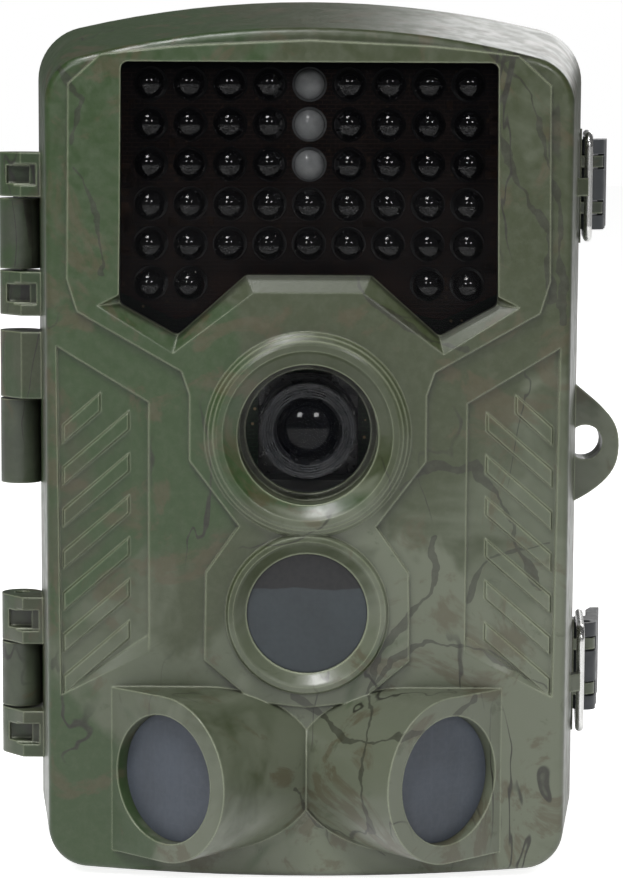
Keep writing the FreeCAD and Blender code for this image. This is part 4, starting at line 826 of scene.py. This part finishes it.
@dataclass
class LensUnit:
    """The cover glass, barrel, lens elements, filter and image sensor."""

    ring_count: int = 5
    ring_step: float = 0.42
    ring_lip: float = 0.22

    def baffles(self, finish: bpy.types.Material) -> None:
        """Cuts a stair of fine rings round the mouth of the barrel.

        Args:
            finish: their material.
        """
        low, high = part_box("lens_barrel")
        glass_low, glass_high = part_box("lens_front_element")
        middle = Vector(((low.x + high.x) / 2, low.y, (low.z + high.z) / 2))
        outer = (high.x - low.x) / 2 / MM - 0.25
        maker = Maker()
        for k in range(self.ring_count):
            radius = outer - k * self.ring_step
            if radius < (glass_high.x - glass_low.x) / 2 / MM + 0.3:
                break
            foot = middle - Vector((0, 0.0001, 0))
            maker.turned(foot, Vector((0, 1, 0)), [(radius, 0.1), (radius - 0.05, 0.0), (radius - self.ring_lip, 0.0),
                                                  (radius - self.ring_lip - 0.05, 0.1)], 64)
        maker.done("lens_baffles", Half.FRONT.value, finish)

    def build(self) -> None:
        """Dresses the lens and makes its rings."""
        dress(["lens_cover_glass"], Pane("cover_glass", linear(10, 11, 14), 0.12, 0.02).build())
        dress(["lens_front_element", "lens_rear_elements"], CoatedGlass("lens_glass").build())
        dress(["ir_cut_filter"], CoatedGlass("filter_glass", linear(60, 20, 26), linear(120, 60, 70)).build())
        black = Moulded("barrel_black", linear(24, 25, 28), 0.3, edge_wear_and_highlight=EdgeWearAndHighlight.LIGHT, cloud=0.15).build()
        dress(["lens_barrel", "lens_holder"], black)
        dress(["image_sensor"], CoatedGlass("sensor_glass", linear(30, 40, 60), linear(90, 110, 130)).build())
        self.baffles(Moulded("baffle_grey", linear(50, 52, 56), 0.28, edge_wear_and_highlight=EdgeWearAndHighlight.NONE).build())


@dataclass
class MotionSensors:
    """The three slate windows, and the detectors behind them."""

    window: SensorFilm = field(default_factory=lambda: SensorFilm("pir_film"))

    def build(self) -> None:
        """Dresses the windows and detectors."""
        low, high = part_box("pir_window_centre")
        # The painted reflection on the centre window starts about two-thirds of the way up.
        painted_reflection_edge = (low.z + (high.z - low.z) * 0.68) / MM + 0.8
        dress(["pir_window_centre"], SensorFilm("pir_film_painted_reflection", linear(34, 41, 45), painted_reflection_z=painted_reflection_edge).build())
        dress(["pir_window_left", "pir_window_right"], self.window.build())
        dress(["pir_detectors"], DrawnMetal("can_metal", linear(176, 172, 160)).build())


@dataclass
class Electronics:
    """Boards, chips, screen, sockets and key domes."""

    def build(self) -> None:
        """Dresses the boards and what is soldered to them."""
        dress(["main_board", "sensor_board", "pir_boards"], CircuitBoard("circuit_board").build())
        dress(["board_chips"], Moulded("chip_black", linear(26, 27, 28), 0.45, Grain.SPARK).build())
        dress(["card_socket", "port_sockets", "key_domes", "mode_switch"],
              DrawnMetal("socket_steel", linear(168, 168, 166), 0.25).build())
        dress(["memory_card"], Moulded("card_black", linear(30, 32, 38), 0.4).build())
        dress(["lcd_panel"], Moulded("lcd_black", linear(16, 22, 20), 0.12, coat=1.0, cloud=0.3).build())
        dress(["lcd_window"], Pane("clear_window", linear(40, 44, 46), 0.22, 0.03).build())


@dataclass
class Keypad:
    """Menu keys with raised marks, and the sliding mode switch."""

    mark: float = 1.1
    proud: float = 0.12

    def arrow(self, turn: float) -> list[tuple[float, float]]:
        """Gives a triangle that points up, turned by an angle."""
        spots = [(0.0, self.mark), (-self.mark * 0.9, -self.mark * 0.6), (self.mark * 0.9, -self.mark * 0.6)]
        return [(x * math.cos(turn) - z * math.sin(turn), x * math.sin(turn) + z * math.cos(turn)) for x, z in spots]

    def shape(self, key: str) -> list[list[tuple[float, float]]]:
        """Chooses the mark for a key.

        Args:
            key: the key's node name.

        Returns:
            Outlines in millimetres about the key's middle.
        """
        turns = {"key_up": 0.0, "key_down": math.pi, "key_left": math.pi / 2, "key_right": -math.pi / 2}
        if key in turns:
            return [self.arrow(turns[key])]
        if key == "key_menu":
            return [[(-1.2, z - 0.16), (1.2, z - 0.16), (1.2, z + 0.16), (-1.2, z + 0.16)] for z in (-0.75, 0.0, 0.75)]
        size = 1.15 if key == "key_ok" else 0.7
        return [[(size * math.cos(a), size * math.sin(a)) for a in (k * math.pi / 12 for k in range(24))]]

    def build(self) -> None:
        """Dresses the keys and raises a mark on each."""
        keys = [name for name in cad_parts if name.startswith("key_") and name != "key_domes"]
        dress(keys + ["mode_switch_knob"], Moulded("key_grey", linear(78, 80, 82), 0.5).build())
        paint = Moulded("key_mark", linear(205, 208, 205), 0.5, edge_wear_and_highlight=EdgeWearAndHighlight.NONE, cloud=0.08).build()
        for key in sorted(keys):
            low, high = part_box(key)
            middle = Vector(((low.x + high.x) / 2, high.y - 0.03 * MM, (low.z + high.z) / 2))
            maker = Maker()
            for outline in self.shape(key):
                maker.plate([middle + Vector((x * MM, 0, z * MM)) for x, z in outline], Vector((0, self.proud * MM, 0)))
            maker.done(key + "_mark", key, paint)


@dataclass
class BatteryBays:
    """The inner covers, springs, plates and cells of both halves."""

    def build(self) -> None:
        """Dresses what is inside the case."""
        dress(["front_inner_cover", "rear_battery_tray"],
              Moulded("inner_plastic", linear(44, 46, 46), 0.55, Grain.SPARK).build())
        dress(["front_battery_springs", "rear_battery_springs", "front_battery_plates", "rear_battery_plates"],
              DrawnMetal("spring_steel", linear(190, 188, 180), 0.22).build())
        for half in ("front", "rear"):
            low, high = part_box(half + "_battery_cells")
            dress([half + "_battery_cells"], CellJacket("cell_jacket_" + half, low.z / MM, high.z / MM).build())


@dataclass
class Latches:
    """The two wire latches: levers and bails."""

    def build(self) -> None:
        """Dresses the levers and the bent wires."""
        dress(["latch_lever_upper", "latch_lever_lower"],
              Moulded("lever_plastic", linear(50, 53, 56), 0.45, edge_wear_and_highlight=EdgeWearAndHighlight.LIGHT).build())
        dress(["latch_bail_upper", "latch_bail_lower"], DrawnMetal("bail_wire", linear(214, 214, 212), 0.22).build())


@dataclass
class TreeMount:
    """The bracket on the back, its screws and the threaded socket in the base."""

    thread_r: float = 2.96
    thread_deep: float = 0.28
    thread_pitch: float = 1.27
    turns: int = 5

    def thread(self, finish: bpy.types.Material) -> None:
        """Winds the socket's thread as one helical ridge.

        Args:
            finish: its material.
        """
        maker = Maker()
        steps = 36
        previous: Optional[list[bmesh.types.BMVert]] = None
        for k in range(steps * self.turns + 1):
            angle = 2 * math.pi * k / steps
            height = 0.5 + self.thread_pitch * k / steps
            ring = []
            for radius, rise in ((self.thread_r, -0.35), (self.thread_r - self.thread_deep, 0.0),
                                 (self.thread_r, 0.35)):
                spot = Vector((radius * math.cos(angle), radius * math.sin(angle), height + rise))
                ring.append(maker.mesh.verts.new(spot * MM))
            if previous is not None:
                for a in range(3):
                    b = (a + 1) % 3
                    maker.mesh.faces.new([previous[a], previous[b], ring[b], ring[a]])
            previous = ring
        maker.done("socket_thread", Half.REAR.value, finish)

    def build(self) -> None:
        """Dresses the bracket and its hardware."""
        dress(["tree_bracket"], Moulded("bracket_plastic", linear(58, 64, 54), 0.55, Grain.LEATHERY).build())
        steel = DrawnMetal("screw_steel", linear(150, 150, 152), 0.3).build()
        dress(["bracket_screws", "cover_screws", "tray_screws"], steel)
        brass = DrawnMetal("insert_brass", linear(196, 160, 96), 0.25, tarnish=linear(110, 84, 48)).build()
        dress(["tripod_insert"], brass)
        self.thread(brass)


# ---------------------------------------------------------------- studio
@dataclass
class Studio:
    """A pale floor, soft lights and the camera."""

    floor_half: float = 4.0
    eye: tuple[float, float, float] = (0.0006, -0.5378, 0.1291)
    target: tuple[float, float, float] = (0.0006, -0.041, 0.0725)
    lens: float = 125.6
    sensor: float = 36.0
    rise: float = 0.0075
    reach: tuple[float, float] = (0.02, 50.0)
    middle: tuple[float, float, float] = (0.0, -0.02, 0.075)
    floor_glow: float = 0.38
    floor_seen: float = 0.85
    room_glow: float = 0.13
    roll: float = math.radians(0.29)

    def floor(self) -> None:
        """Lays the floor as one large flat sheet."""
        data = bpy.data.meshes.new("floor")
        mesh = bmesh.new()
        bmesh.ops.create_grid(mesh, x_segments=8, y_segments=8, size=self.floor_half)
        mesh.to_mesh(data)
        mesh.free()
        floor = bpy.data.objects.new("floor", data)
        bpy.context.scene.collection.objects.link(floor)
        graph = Graph("floor_paper")
        seen = graph.add("ShaderNodeLightPath").outputs["Is Camera Ray"]
        colour = graph.blend(graph.noise(0.01, 3), (0.86, 0.86, 0.86), (0.90, 0.90, 0.90))
        glow = graph.step(seen, 0.0, 1.0, self.floor_glow, self.floor_seen)
        data.materials.append(graph.settle(Base_Color=colour, Roughness=0.9, Emission_Color=(1.0, 1.0, 1.0),
                                           Emission_Strength=glow))

    def lamp(self, name: str, place: tuple[float, float, float], size: float, power: float) -> None:
        """Hangs a square soft light aimed at the middle of the camera.

        Args:
            name: its name.
            place: where it hangs.
            size: its side, in metres.
            power: its power in watts.
        """
        data = bpy.data.lights.new(name, "AREA")
        data.size, data.energy = size, power
        light = bpy.data.objects.new(name, data)
        light.location = place
        aim = Vector(self.middle) - Vector(place)
        light.rotation_euler = aim.to_track_quat("-Z", "Y").to_euler()
        bpy.context.scene.collection.objects.link(light)

    def sky(self) -> None:
        """Makes the room: white to the eye, dimmer as a light."""
        world = bpy.data.worlds.new("room")
        world.use_nodes = True
        tree = world.node_tree
        tree.nodes.clear()
        seen = tree.nodes.new("ShaderNodeBackground")
        seen.inputs[0].default_value, seen.inputs[1].default_value = (1, 1, 1, 1), 1.0
        glow = tree.nodes.new("ShaderNodeBackground")
        glow.inputs[0].default_value, glow.inputs[1].default_value = (1, 1, 1, 1), self.room_glow
        path, mix = tree.nodes.new("ShaderNodeLightPath"), tree.nodes.new("ShaderNodeMixShader")
        output = tree.nodes.new("ShaderNodeOutputWorld")
        tree.links.new(path.outputs["Is Camera Ray"], mix.inputs[0])
        tree.links.new(glow.outputs[0], mix.inputs[1])
        tree.links.new(seen.outputs[0], mix.inputs[2])
        tree.links.new(mix.outputs[0], output.inputs[0])
        bpy.context.scene.world = world

    def build(self) -> None:
        """Sets up the floor, the lights and the camera."""
        self.floor()
        self.lamp("key", (-0.24, -0.55, 1.10), 0.36, 11.0)
        self.lamp("left_front", (-0.36, -1.05, 0.62), 0.20, 3.4)
        self.lamp("right_front", (0.36, -1.05, 0.62), 0.20, 3.0)
        self.lamp("back", (0.5, 1.2, 0.7), 0.8, 5.0)
        self.sky()
        data = bpy.data.cameras.new("camera")
        data.sensor_fit, data.sensor_height = "VERTICAL", self.sensor
        data.lens, data.shift_y = self.lens, self.rise
        data.clip_start, data.clip_end = self.reach
        camera = bpy.data.objects.new("camera", data)
        camera.location = self.eye
        look = (Vector(self.target) - Vector(self.eye)).to_track_quat("-Z", "Y")
        camera.rotation_euler = (look.to_matrix() @ Matrix.Rotation(self.roll, 3, "Z")).to_euler()
        bpy.context.scene.collection.objects.link(camera)
        bpy.context.scene.camera = camera
        bpy.context.scene.view_settings.view_transform = "Standard"


def main() -> None:
    """Builds every sub-assembly in order."""
    logging.basicConfig(level=logging.INFO, format="%(name)s: %(message)s")
    for assembly in (CaseShells(), LampPanel(), LensUnit(), MotionSensors(), Electronics(), Keypad(), BatteryBays(),
                     Latches(), TreeMount(), Studio()):
        LOG.info("building %s", type(assembly).__name__)
        assembly.build()


if __name__ == "__main__":
    main()
